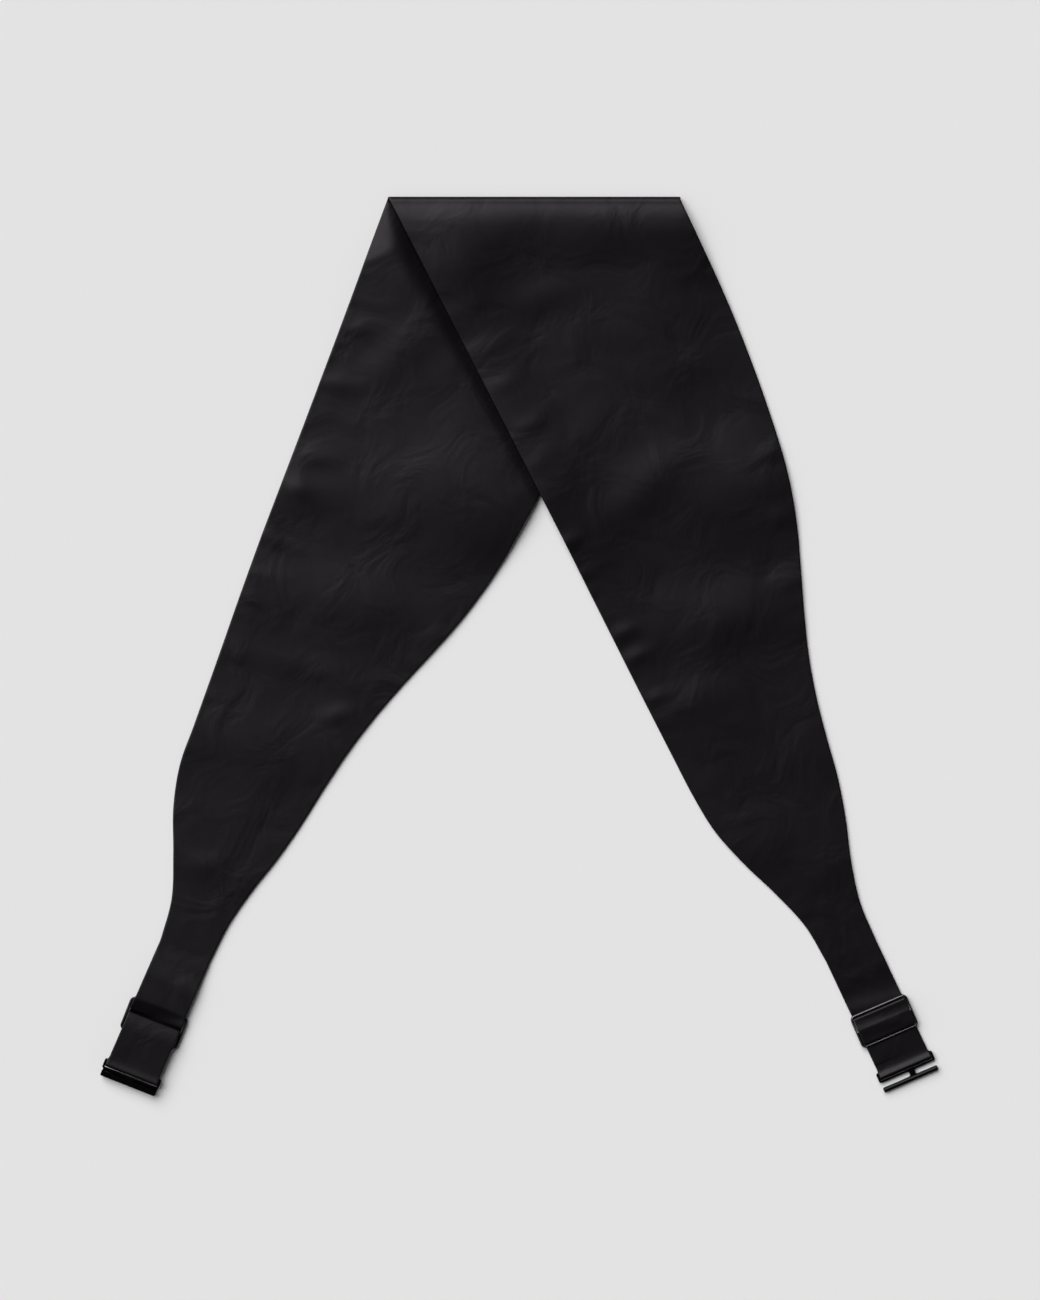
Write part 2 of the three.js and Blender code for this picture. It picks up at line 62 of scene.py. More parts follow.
# The two long edges of each leg. along is a share of the leg's length from the fold.
# The other columns are how much of the panel's flare stands outside the strap's edge.
EDGE_COLUMNS = ("along", "left_outer", "left_inner", "right_outer", "right_inner")
EDGE_ROWS = (
    (-0.08, 1.06, 0.958, 0.915, 0.985),
    (0.08, 0.961, 0.953, 0.97, 0.895),
    (0.2, 0.885, 0.948, 1.005, 0.828),
    (0.3, 0.828, 0.942, 0.992, 0.773),
    (0.4, 0.773, 0.895, 0.938, 0.718),
    (0.45, 0.746, 0.845, 0.88, 0.693),
    (0.5, 0.72, 0.763, 0.788, 0.668),
    (0.55, 0.688, 0.651, 0.666, 0.643),
    (0.6, 0.653, 0.531, 0.543, 0.618),
    (0.65, 0.616, 0.424, 0.434, 0.591),
    (0.7, 0.581, 0.339, 0.354, 0.563),
    (0.75, 0.546, 0.281, 0.299, 0.533),
    (0.8, 0.511, 0.234, 0.251, 0.476),
    (0.85, 0.401, 0.169, 0.171, 0.349),
    (0.9, 0.226, 0.079, 0.067, 0.187),
    (0.95, 0.067, 0.014, 0.0, 0.052),
    (1.0, 0.0, 0.0, 0.0, 0.0),
)

# Low swells in the lying cloth. along is a share of the leg's length, across, span and
# breadth are shares of the panel's width, turn is in degrees from the fold's direction,
# and height is a share of the highest swell.
SWELL_COLUMNS = ("leg", "along", "across", "span", "breadth", "turn", "height")
SWELL_ROWS = (
    ("left", 0.355, -0.22, 0.32, 0.2, -8, 0.9),
    ("left", 0.36, -0.45, 0.16, 0.12, -40, 0.3),
    ("left", 0.435, 0.286, 0.14, 0.09, -15, 0.35),
    ("left", 0.534, -0.006, 0.3, 0.115, -11, 0.45),
    ("left", 0.63, 0.038, 0.3, 0.055, -19, 0.13),
    ("left", 0.735, 0.03, 0.28, 0.12, 3, 0.16),
    ("left", 0.898, 0.07, 0.08, 0.05, -10, 0.22),
    ("left", 0.23, 0.2, 0.2, 0.07, 40, 0.25),
    ("right", 0.04, -0.362, 0.17, 0.16, 8, 0.85),
    ("right", 0.415, 0.17, 0.31, 0.2, 0, 0.85),
    ("right", 0.375, -0.03, 0.2, 0.08, 42, 0.3),
    ("right", 0.408, 0.315, 0.2, 0.08, -38, 0.25),
    ("right", 0.561, 0.023, 0.3, 0.115, 8, 0.55),
    ("right", 0.642, -0.179, 0.16, 0.08, 22, 0.28),
    ("right", 0.832, -0.164, 0.14, 0.09, 10, 0.25),
    ("right", 0.9, 0.04, 0.14, 0.07, 15, 0.2),
    ("right", 0.115, -0.12, 0.12, 0.06, 20, 0.18),
    ("right", 0.2, -0.36, 0.5, 0.12, -63, 0.5),
)

# Short puckers where the seams draw the cloth in, with the same columns
PUCKER_ROWS = (
    ("left", 0.233, 0.381, 0.06, 0.035, -5, 0.2),
    ("left", 0.302, 0.366, 0.07, 0.035, -10, 0.2),
    ("left", 0.393, 0.32, 0.08, 0.04, -12, 0.2),
    ("left", 0.438, 0.338, 0.05, 0.03, -20, 0.2),
    ("left", 0.506, 0.345, 0.05, 0.025, -30, 0.22),
    ("left", 0.551, 0.338, 0.06, 0.025, -20, 0.16),
    ("left", 0.583, 0.328, 0.04, 0.022, -30, 0.14),
    ("left", 0.653, 0.312, 0.05, 0.025, -20, 0.1),
    ("left", 0.53, -0.34, 0.05, 0.025, 30, 0.12),
    ("left", 0.665, -0.139, 0.06, 0.03, 15, 0.16),
    ("right", 0.093, -0.39, 0.09, 0.035, 35, 0.08),
    ("right", 0.145, -0.37, 0.1, 0.03, 30, 0.1),
    ("right", 0.195, -0.36, 0.08, 0.03, 35, 0.1),
    ("right", 0.255, -0.34, 0.1, 0.035, 38, 0.15),
    ("right", 0.3, -0.36, 0.06, 0.03, 30, 0.1),
    ("right", 0.406, -0.37, 0.045, 0.028, 25, 0.26),
    ("right", 0.449, -0.354, 0.04, 0.02, 20, 0.12),
    ("right", 0.532, -0.317, 0.05, 0.028, 20, 0.24),
    ("right", 0.566, -0.31, 0.05, 0.026, 25, 0.24),
    ("right", 0.621, -0.303, 0.04, 0.022, 25, 0.14),
    ("right", 0.4, 0.426, 0.06, 0.03, 20, 0.14),
    ("right", 0.479, 0.383, 0.08, 0.035, 10, 0.16),
    ("right", 0.554, 0.319, 0.08, 0.035, 15, 0.14),
)

# Low creases across the straps: the place and breadth of each along the strap in mm, how far
# it runs aslant, as a share, and its height in mm
STRAP_COLUMNS = ("strap", "place", "slant", "breadth", "height")
STRAP_ROWS = (
    ("left", 17, 0.1, 5.5, 0.4),
    ("left", 7, -0.15, 4, 0.12),
    ("right", 13, -0.15, 4.5, 0.12),
    ("right", 29.5, 0.15, 4.5, 0.42),
    ("right", 39.5, 0.25, 2.6, 0.12),
    ("right", 53, -0.5, 5, 0.1),
)

# Slow waves that keep the cloth from lying dead flat: the length and direction of each,
# its height and its start, in mm and degrees
WAVE_COLUMNS = ("length", "turn", "height", "start")
WAVE_ROWS = (
    (61, 12, 0.07, 20),
    (47, 97, 0.04, 200),
    (38, -37, 0.03, 75),
    (29, 64, 0.02, 310),
    (23, -12, 0.015, 150),
)

# Lights: the direction each comes from, clockwise from the fold's side in degrees, its height
# over the table in degrees, its strength, and its apparent width in degrees
LIGHT_COLUMNS = ("name", "turn", "height", "strength", "spread")
LIGHT_ROWS = (
    ("key_softbox", -38, 47, 3.45, 60),
    ("fill_right", 118, 22, 0.18, 44),
    ("fill_front", 195, 26, 0.08, 50),
    ("fill_left", 270, 30, 0.6, 60),
)
ROOM_LIGHT = 0.03

# How far in from a long edge the columns of the cloth's mesh stand, in mm
EDGE_STEPS = (0.0, 0.15, 0.45, 0.9, 1.8, 3.2, 5.0)
FLAT_COLUMNS = 46
STRAP_FLAT_COLUMNS = 9
NOSE_ROWS = 12
LEG_ROWS = 215

# The cross-lines fan out over this share of the leg, and the legs part at the second share
FAN_SHARE = 0.45
CROSSING_SHARE = 0.322
SOLVE_PASSES = 8

# Swells begin, and the finer relief begins, this many rolls of the fold away from it
SWELL_START = 4
RELIEF_START = 6

# Ripples along the seams: the length and start of each in mm and radians, and its share
RIPPLE_ROWS = ((2.3, 0.0, 1.0), (1.45, 1.3, 0.7))
RIPPLE_BEAT = 31

# How suddenly the strap climbs to the hook's bar, to the right slider and beside its middle bar
HOOK_HASTE = 13
CLIMB_HASTE = 5
TAUT_HASTE = 2

# How the left strap dives under its slider's middle bar: its middle early, its edges late
DIVE_POWER = 2.2
EDGE_DIVE_POWER = 5
EDGE_DIVE_SPREAD = 1.4
EDGE_DIVE_END = -0.1

# Degrees by which the strap's loop round the hook's bar and its sewn end lean past a half turn
LOOP_LEAN = 30
SEWN_TURN = 350

# Steps along the parts of a strap's path
CLIMB_STEPS = 32
DIVE_STEPS = 28
HOOK_STEPS = 40
LOOP_STEPS = 24
SEWN_STEPS = 26
TAUT_STEPS = 12
LEVEL_STEPS = 10
BEND_STEPS = 8

# Two places closer than this are the same edge or corner
SAME = 0.1 * MM


def linear(hex_colour):
    """Linear colour of an sRGB hex value."""
    shares = [int(hex_colour[k : k + 2], 16) / 255 for k in (0, 2, 4)]
    return [s / 12.92 if s <= 0.04045 else ((s + 0.055) / 1.055) ** 2.4 for s in shares]


def length(name, millimetres, description):
    """A property that holds a length, given in millimetres and kept in metres."""
    return FloatProperty(
        name=name,
        description=description,
        default=millimetres * MM,
        min=0.0,
        precision=5,
        unit="LENGTH",
    )


def angle(name, degrees, description):
    """A property that holds an angle, given in degrees."""
    return FloatProperty(
        name=name,
        description=description,
        default=math.radians(degrees),
        unit="ROTATION",
    )


def colour(name, hex_colour, description):
    """A property that holds a colour."""
    return FloatVectorProperty(
        name=name,
        description=description,
        default=linear(hex_colour),
        size=3,
        min=0.0,
        max=1.0,
        subtype="COLOR",
    )


class CummerbundBand(bpy.types.PropertyGroup):
    """Sizes of the sewn panel and of the way it lies."""

    width: length("Width", 137, "Widest part of the panel, edge to edge")
    thickness: length("Thickness", 1.3, "Both satin faces and what is between them")
    neck_calm: length("Neck Calm", 24, "Length at the neck's end that lies smooth")
    left_lift: length("Left Lift", 0.6, "How far the left strap lifts the end of its neck")
    right_lift: length("Right Lift", 0.35, "How far the right strap lifts the end of its neck")
    neck_rise: length("Neck Rise", 60, "Length of the neck that rises to its end")
    dip_slope: angle("Dip Slope", 29, "How steeply the lower leg dips to the edge of the upper one")
    dip_width: length("Dip Width", 13, "Width of that dip near the fold")
    dip_end_width: length("Dip End Width", 4.5, "Width of that dip where the legs part")
    dip_start: length("Dip Start", 24, "Length over which the dip grows from the fold")
    dip_fall: length("Dip Fall", 90, "Width over which the lower leg sinks back to the table")
    dip_fade: length("Dip Fade", 80, "Length over which the dip ends past the place where the legs part")
    left_length: length("Left Length", 414.5, "Left leg from the fold to the end of its neck")
    right_length: length("Right Length", 408, "Right leg from the fold to the end of its neck")
    left_lean: angle("Left Lean", 24.9, "Angle between the left leg and straight down from the fold")
    right_lean: angle("Right Lean", 22.8, "Angle between the right leg and straight down from the fold")
    fold_half_height: length("Fold Half Height", 1.5, "Half the height of the cloth's middle at the fold")
    fold_reach: length("Fold Reach", 3, "How far the roll at the fold reaches into the legs")
    fold_settle: length("Fold Settle", 26, "How fast the upper leg sinks to the lower one")
    fold_bulge: length("Fold Bulge", 1.2, "How far the upper leg bulges up beside the fold")
    fold_crest: length("Fold Crest", 12, "How far from the roll that bulge is highest")
    layer_gap: length("Layer Gap", 0.4, "Air between the two legs where they lie on each other")
    drop_margin: length("Drop Margin", 1, "How far past the lower leg the upper one begins to drop")
    drop_width: length("Drop Width", 75, "Width over which the upper leg drops to the table")
    swell_height: length("Swell Height", 2, "Height of the highest swell")
    edge_round: length("Edge Round", 0.4, "Radius of the turned edge")
    hem_width: length("Hem Width", 8, "Width of the seam's turnings inside the edge")
    hem_relief: length("Hem Relief", 0.05, "How far the turnings lift the face")
    ripple_height: length("Ripple Height", 0.05, "Height of the ripples along the seams")
    ripple_reach: length("Ripple Reach", 7, "How far in from the seam its ripples reach")


class CummerbundStrap(bpy.types.PropertyGroup):
    """Sizes of the two straps."""

    width: length("Width", 27.2, "Width of the strap")
    thickness: length("Thickness", 0.7, "Thickness of the doubled satin")
    skew: angle("Skew", 1.85, "How far the strap runs off square to the bars")
    let_in: length("Let In", 2, "How far the strap's end is let into the neck")
    let_in_thickness: length("Let In Thickness", 1.24, "Thickness of the strap's end in the neck")
    let_in_taper: length("Let In Taper", 24, "Length over which the strap thins from the neck")
    clearance: length("Clearance", 0.1, "Air between the strap and the bars it goes round")
    side_air: length("Side Air", 0.3, "Air between the strap's edges and the frames it runs in")
    bend: length("Bend", 0.75, "Radius of the strap's bends beside the right slider's bars")
    sag: length("Sag", 0.5, "How far the strap sags between the right slider's bars")
    spread: length("Spread", 0.25, "How far each edge spreads inside the slider and the hook")
    left_slider: length("Left Slider", 39.4, "From the end of the left neck to its slider's middle")
    right_slider: length("Right Slider", 38.8, "From the end of the right neck to its slider's middle")
    left_tail: length("Left Tail", 26.6, "From the left slider's middle to the bar of the channel hook")
    right_tail: length("Right Tail", 24.4, "From the right slider's middle to the bar of the T-bar hook")
    left_turn: angle("Left Turn", 21.6, "Angle between the left hardware and straight down")
    right_turn: angle("Right Turn", 23.3, "Angle between the right hardware and straight down")


class CummerbundHardware(bpy.types.PropertyGroup):
    """Sizes of the sliders and of the two halves of the fastening."""

    wire: length("Wire", 1.45, "Diameter of the slider's wire")
    bar_spacing: length("Bar Spacing", 16.2, "Between the middles of the slider's outer bars")
    corner: length("Slider Corner", 2.6, "Outer radius of the slider's corners")
    eye_bar: length("Eye Bar", 1.1, "Diameter of the bar that the strap goes round")
    eye_wall: length("Eye Wall", 1.2, "Width of the walls at the bar's two ends")
    eye_back: length("Eye Back", 1.8, "How far the walls reach back past the middle of that bar")
    eye_seat: length("Eye Seat", 0.8, "How far that bar sits from the frame's origin to the rail")
    eye_edge: length("Eye Edge", 3.4, "From the frame's origin to the outer edge of its rail")
    eye_rail: length("Eye Rail", 0.9, "Width of the rail beyond the strap")
    eye_plate: length("Eye Plate", 1, "Thickness of the walls and rail")
    eye_corner: length("Eye Corner", 1, "Radius of the frame's corners")
    stem_width: length("Stem Width", 3, "Width of the neck that carries the T-bar")
    stem_offset: length("Stem Offset", 2, "How far that neck stands off the frame's middle")
    t_bar: length("T-Bar", 2.7, "Diameter of the T-bar")
    t_bar_corner: length("T-Bar Corner", 0.7, "Radius of the rims at the T-bar's ends")
    t_bar_length: length("T-Bar Length", 29.4, "Length of the T-bar over its round ends")
    t_bar_gap: length("T-Bar Gap", 2.65, "Open slot between the rail and the T-bar")
    slot_corner: length("Slot Corner", 0.8, "Radius of the slots' corners at the neck")
    slot_reach: length("Slot Reach", 4, "How far the slots' web reaches past the neck on each side")
    channel_gap: length("Channel Gap", 1.1, "Open slot between the rail and the channel")
    channel_wall: length("Channel Wall", 0.7, "Thickness of the channel's walls")
    channel_depth: length("Channel Depth", 2.75, "Channel from its mouth to its outer face")
    channel_length: length("Channel Length", 29.1, "Length of the channel")
    channel_lip: length("Channel Lip", 1.1, "How far the channel's lower wall reaches back")
    channel_notch: length("Channel Notch", 8.8, "Slot in the channel for the T-bar's neck")
    channel_corner: length("Channel Corner", 0.65, "Radius of the channel's corners")
    channel_play: length("Channel Play", 0.4, "Air round the T-bar inside the channel")
    channel_stem: length("Channel Stem", 4.5, "Width of the neck that carries the channel")
    edge_round: length("Edge Round", 0.18, "Radius of the cast pieces' edges")


class CummerbundFinish(bpy.types.PropertyGroup):
    """Colours of the cloth, the metal and the table."""

    satin: colour("Satin", "060406", "Body colour of the dyed silk")
    satin_sheen: colour("Satin Sheen", "8d8a94", "Tint of the sheen on the raised threads")
    lacquer: colour("Lacquer", "040405", "Colour of the lacquer on the metal")
    table: colour("Table", "e7e7e7", "Colour of the table")


class CummerbundStudio(bpy.types.PropertyGroup):
    """Camera and table."""

    view_width: length("View Width", 520, "Width of the table that the camera takes in")
    view_x: length("View X", 0.4, "Where the camera looks, to the right of the origin")
    view_down: length("View Down", 1.75, "Where the camera looks, away from the fold")
    view_height: length("View Height", 2400, "Height of the camera over the table")
    table_size: length("Table Size", 6000, "Side of the square table")


class CummerbundSettings(bpy.types.PropertyGroup):
    """All settings of the cummerbund."""

    band: PointerProperty(type=CummerbundBand, name="Band", description="The sewn panel")
    strap: PointerProperty(type=CummerbundStrap, name="Straps", description="The two straps")
    metal: PointerProperty(type=CummerbundHardware, name="Hardware", description="Sliders and hooks")
    finish: PointerProperty(type=CummerbundFinish, name="Finish", description="The colours")
    studio: PointerProperty(type=CummerbundStudio, name="Studio", description="Camera and table")


@dataclass
class Leg:
    """One leg of the folded band. side is -1 on the left and 1 on the right."""

    name: str
    side: int
    length: float
    lean: float
    turn: float
    lift: float


@dataclass
class End:
    """How one strap lies: facing is 1 with its front up, and reach and tail place the bars."""

    name: str
    facing: int
    reach: float
    tail: float
    eye_height: float


def leg(settings, name):
    """The leg of that name."""
    band, strap = settings.band, settings.strap
    if name == "left":
        return Leg(name, -1, band.left_length, band.left_lean, strap.left_turn, band.left_lift)
    return Leg(name, 1, band.right_length, band.right_lean, strap.right_turn, band.right_lift)


def smooth(share):
    """Eases a share from 0 to 1 with level ends."""
    t = np.clip(share, 0.0, 1.0)
    return t * t * (3 - 2 * t)


def edge_share(column, along):
    """Smooth curve through one column of the edge table."""
    rows = np.array(EDGE_ROWS)
    stations = rows[:, 0]
    values = rows[:, EDGE_COLUMNS.index(column)]
    last = len(rows) - 1
    k = np.clip(np.searchsorted(stations, along) - 1, 0, last - 1)
    before = np.maximum(k - 1, 0)
    after = np.minimum(k + 2, last)
    step = stations[k + 1] - stations[k]
    start = (values[k + 1] - values[before]) / (stations[k + 1] - stations[before]) * step
    end = (values[after] - values[k]) / (stations[after] - stations[k]) * step
    t = np.clip((along - stations[k]) / step, 0, 1)
    rise = values[k + 1] - values[k]
    bend = t * (1 - t) ** 2 * (start - rise) - t**2 * (1 - t) * (end - rise)
    return values[k] + t * rise + bend


def leg_plan(one, along, across):
    """Place in the plan, from a length along the leg's middle line and one outwards from it."""
    sine, cosine = math.sin(one.lean), math.cos(one.lean)
    x = one.side * (sine * along + cosine * across)
    y = sine * across - cosine * along
    return np.stack(np.broadcast_arrays(x, y), axis=-1)


def half_width(settings, one, edge, share):
    """Distance of a long edge from the leg's middle line."""
    column = f"{one.name}_{'outer' if edge > 0 else 'inner'}"
    strap = settings.strap.width
    return strap / 2 + (settings.band.width - strap) / 2 * edge_share(column, share)


def edge_point(settings, one, edge, share):
    """End of a cross-line on a long edge, with share running from the fold to the neck."""
    slope = np.tan(one.lean - one.turn * smooth(share / FAN_SHARE))
    along = share
    for _ in range(SOLVE_PASSES):
        along = share + edge * half_width(settings, one, edge, along) * slope / one.length
    return leg_plan(one, along * one.length, edge * half_width(settings, one, edge, along))


def swell_at(settings, one, rows, place):
    """Height that the swells or puckers of one leg add at places of the plan."""
    width = settings.band.width
    height = np.zeros(place.shape[:-1])
    for name, along, across, span, breadth, turn, share in rows:
        if name != one.name:
            continue
        offset = place - leg_plan(one, along * one.length, across * width)
        sine, cosine = math.sin(math.radians(turn)), math.cos(math.radians(turn))
        lengthwise = (offset[..., 0] * cosine + offset[..., 1] * sine) / (span * width)
        sideways = (offset[..., 1] * cosine - offset[..., 0] * sine) / (breadth * width)
        height += share * settings.band.swell_height * np.exp(-(lengthwise**2) - sideways**2)
    return height


def stack_share(settings, place):
    """How far the upper leg is held up: 1 over the lower leg, 0 where it lies on the table."""
    lower = leg(settings, "left")
    corner = edge_point(settings, lower, -1, np.float64(0))
    reach = half_width(settings, lower, -1, CROSSING_SHARE)
    crossing = leg_plan(lower, CROSSING_SHARE * lower.length, -reach)
    line = (crossing - corner) / np.linalg.norm(crossing - corner)
    beyond = line[0] * (place[..., 1] - corner[1]) - line[1] * (place[..., 0] - corner[0])
    return 1 - smooth((beyond - settings.band.drop_margin) / settings.band.drop_width)


def dip_rise(settings, place):
    """How far the lower leg stands up beside the edge of the upper one, which presses it down."""
    band = settings.band
    upper = leg(settings, "right")
    start = edge_point(settings, upper, -1, np.float64(0))
    finish = edge_point(settings, upper, -1, np.float64(CROSSING_SHARE))
    run = np.linalg.norm(finish - start)
    line = (finish - start) / run
    offset = place - start
    beside = line[1] * offset[..., 0] - line[0] * offset[..., 1]
    down = offset @ line
    width = band.dip_width + (band.dip_end_width - band.dip_width) * np.clip(down / run, 0, 1)
    width = width * np.clip(down / band.dip_start, 0, 1) * smooth((run - down) / band.dip_fade + 1)
    width = np.maximum(width, band.layer_gap / 10)
    across = np.clip(beside / width, 0, 1)
    stand = 1 - smooth((beside - width) / band.dip_fall)
    return stand * math.tan(band.dip_slope) * width / 2 * (1 - (1 - across) ** 2)


def slow_waves(place):
    """The slow waves of the whole cloth."""
    height = np.zeros(place.shape[:-1])
    for wavelength, turn, share, start in WAVE_ROWS:
        way = np.array([math.sin(math.radians(turn)), math.cos(math.radians(turn))])
        phase = 2 * math.pi * (place @ way) / (wavelength * MM) + math.radians(start)
        height += share * MM * (1 + np.sin(phase))
    return height


def seam_ripples(settings, one, along, inset):
    """Small ripples that run in from a seam. along and inset are lengths on the cloth."""
    band = settings.band
    fade = np.exp(-inset / band.ripple_reach)
    beat = 0.5 + 0.5 * np.sin(along / (RIPPLE_BEAT * MM) + one.side)
    wave = sum(share * np.sin(along / (step * MM) + start) for step, start, share in RIPPLE_ROWS)
    return band.ripple_height * fade * beat * wave


def cloth_height(settings, one, place):
    """Height of the middle of the cloth, without its finest relief."""
    band = settings.band
    down = np.maximum(-place[..., 1], 0)
    bare = smooth(down / (SWELL_START * band.fold_reach))
    nose = np.maximum(1 - down / band.fold_reach, 0)
    roll = band.fold_half_height * (1 - np.sqrt(1 - nose * nose))
    floor = band.thickness / 2
    lower_swell = bare * swell_at(settings, leg(settings, "left"), SWELL_ROWS, place)
    if one.side < 0:
        return floor + roll + lower_swell + dip_rise(settings, place)
    pitch = band.thickness + band.layer_gap
    settle = np.maximum(down - band.fold_reach, 0) / band.fold_settle
    crest = np.maximum(down - band.fold_reach, 0) / band.fold_crest
    rise = pitch + (2 * band.fold_half_height - pitch) * np.exp(-settle * settle)
    rise = rise + band.fold_bulge * crest * np.exp(1 - crest)
    own_swell = bare * swell_at(settings, one, SWELL_ROWS, place)
    return floor - roll + stack_share(settings, place) * (rise + lower_swell) + own_swell


def neck_height(settings, one, along):
    """How far the neck stands off the table, because its strap climbs to the slider."""
    band = settings.band
    climb = np.maximum(1 - (one.length - along) / band.neck_rise, 0)
    return one.lift * climb**2


def fine_relief(settings, one, place, along, inset):
    """Puckers, slow waves and seam ripples. They leave the fold and the neck's end alone."""
    band = settings.band
    down = np.maximum(-place[..., 1], 0)
    bare = smooth(down / (RELIEF_START * band.fold_reach))
    neck = smooth((one.length - along) / band.neck_calm)
    puckers = swell_at(settings, one, PUCKER_ROWS, place)
    waves = slow_waves(place)
    waves = waves + band.hem_relief * (1 - smooth((inset - band.hem_width) / band.hem_width))
    return bare * neck * (puckers + waves + seam_ripples(settings, one, along, inset))


def leg_grid(settings, one, shares):
    """Points of the cloth's middle, cross-line by cross-line, with the place on the cloth."""
    first = edge_point(settings, one, -one.side, shares)
    second = edge_point(settings, one, one.side, shares)
    width = np.linalg.norm(second - first, axis=-1)[:, None]
    steps = np.array(EDGE_STEPS) * MM
    inner = np.linspace(0, 1, FLAT_COLUMNS + 1)[1:-1]
    left = np.broadcast_to(steps, (len(shares), len(steps)))
    middle = steps[-1] + inner * (width - 2 * steps[-1])
    across = np.concatenate([left, middle, width - left[:, ::-1]], axis=1)
    place = first[:, None, :] + (second - first)[:, None, :] * (across / width)[..., None]
    along = np.broadcast_to(shares[:, None] * one.length, across.shape)
    inset = np.minimum(across, width - across)
    height = cloth_height(settings, one, place)
    height = height + fine_relief(settings, one, place, along, inset)
    height = height + neck_height(settings, one, along)
    points = np.concatenate([place, height[..., None]], axis=-1)
    pattern = np.stack([place[..., 0], one.side * place[..., 1]], axis=-1)
    return points, pattern, inset


def cloth_object(name, points, cloth_places, fullness, thickness, material):
    """A sheet of cloth through a grid of points, thick and round-edged, with its UV map in metres."""
    rows, columns = points.shape[:2]
    sheet = bmesh.new()
    bmesh.ops.create_grid(sheet, x_segments=columns - 1, y_segments=rows - 1, size=0.5)
    weave = sheet.loops.layers.uv.new("cloth")
    thick = sheet.verts.layers.deform.verify()
    cells = {}
    for vertex in sheet.verts:
        column = round((vertex.co.x + 0.5) * (columns - 1))
        row = round((vertex.co.y + 0.5) * (rows - 1))
        cells[vertex] = (row, column)
    for vertex, cell in cells.items():
        vertex.co = points[cell]
        vertex[thick][0] = fullness[cell]
    for edge in sheet.edges:
        edge.smooth = not all(cells[vertex][0] in (0, rows - 1) for vertex in edge.verts)
    for face in sheet.faces:
        face.smooth = True
        for corner in face.loops:
            corner[weave].uv = cloth_places[cells[corner.vert]]
    piece = mesh_object(name, sheet, material)
    group = piece.vertex_groups.new(name="fullness")
    solidify = piece.modifiers.new("thickness", "SOLIDIFY")
    solidify.thickness = thickness
    solidify.offset = 0.0
    solidify.use_rim = True
    solidify.use_quality_normals = True
    solidify.vertex_group = group.name
    return piece


def mesh_object(name, shape, material=None):
    """A new object from a bmesh, which is freed."""
    mesh = bpy.data.meshes.new(name)
    shape.to_mesh(mesh)
    shape.free()
    if material:
        mesh.materials.append(material)
    piece = bpy.data.objects.new(name, mesh)
    bpy.context.scene.collection.objects.link(piece)
    return piece


def edge_fullness(inset, edge_round):
    """How thick the cloth is at a distance from its edge, as a share, for a round edge."""
    t = np.clip(inset / edge_round, 0.02, 1)
    return np.sqrt(1 - (1 - t) ** 2)


def band_shift(settings, points):
    """From the fold's own origin to the shared frame."""
    low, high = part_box("band")
    x = low.x - points[..., 0].min()
    y = high.y - settings.band.thickness / 2 - points[..., 1].max()
    return np.array([x, y, 0.0])


def band_points(settings):
    """The whole band from the end of the left neck over the fold to the end of the right one."""
    band = settings.band
    grids = []
    for name in ("left", "right"):
        one = leg(settings, name)
        nose_share = band.fold_reach / (one.length * math.cos(one.lean))
        nose = nose_share * (1 - np.cos(np.arange(1, NOSE_ROWS + 1) / NOSE_ROWS * math.pi / 2))
        rest = nose_share + (1 - nose_share) * np.arange(1, LEG_ROWS + 1) / LEG_ROWS
        shares = np.concatenate([[0.0], nose, rest])
        grids.append(leg_grid(settings, one, shares))
    (left, left_cloth, left_inset), (right, right_cloth, right_inset) = grids
    fold = (left[0] + right[0]) / 2
    points = np.concatenate([left[:0:-1], fold[None], right[1:]])
    cloth = np.concatenate([left_cloth[:0:-1], right_cloth])
    inset = np.concatenate([left_inset[:0:-1], right_inset])
    return points, cloth, inset


def end_matrix(settings, name, shift):
    """Axes of one end: X from the neck towards the hook, Y along the bars, Z up."""
    one = leg(settings, name)
    neck = leg_plan(one, one.length, 0.0)
    place = Matrix.Translation((neck[0] + shift[0], neck[1] + shift[1], 0))
    return place @ Matrix.Rotation(one.side * one.turn - math.pi / 2, 4, "Z")


def loop_radius(settings, bar):
    """Radius of the strap's middle where it goes round a bar."""
    return bar / 2 + settings.strap.clearance + settings.strap.thickness / 2


def layer_pitch(settings):
    """Between the middles of two layers of strap that lie on each other."""
    return settings.strap.thickness + settings.strap.clearance


def slider_height(settings):
    """Height of the middle of a slider's wire."""
    return loop_radius(settings, settings.metal.wire) + layer_pitch(settings) + settings.strap.thickness / 2


def channel_height(settings):
    """Outer height of the channel."""
    metal = settings.metal
    return metal.t_bar + metal.channel_play + 2 * metal.channel_wall


def end(settings, name):
    """How the strap of that name lies."""
    strap, metal = settings.strap, settings.metal
    if name == "left":
        height = channel_height(settings) - metal.eye_plate / 2
        return End(name, -1, strap.left_slider, strap.left_tail, height)
    height = max(loop_radius(settings, metal.eye_bar) + strap.thickness / 2, metal.t_bar / 2)
    return End(name, 1, strap.right_slider, strap.right_tail, height)


def eased_points(start, finish, steps):
    """Points from start to finish, level at both."""
    shares = np.arange(1, steps + 1) / steps
    x = start[0] + (finish[0] - start[0]) * shares
    y = start[1] + (finish[1] - start[1]) * smooth(shares)
    return list(zip(x, y))


def climbing_points(start, finish, slope, steps):
    """Points from start, where the line has a slope, to finish, where it is level."""
    t = np.arange(1, steps + 1) / steps
    run = finish[0] - start[0]
    x = start[0] + run * t
    y = start[1] + (finish[1] - start[1]) * smooth(t) + slope * run * t * (1 - t) ** 2
    return list(zip(x, y))


def late_points(start, finish, haste, steps):
    """Points from start, level there, to finish, with most of the climb near the end."""
    t = np.arange(1, steps + 1) / steps
    x = start[0] + (finish[0] - start[0]) * t
    y = start[1] + (finish[1] - start[1]) * t**haste
    return list(zip(x, y))


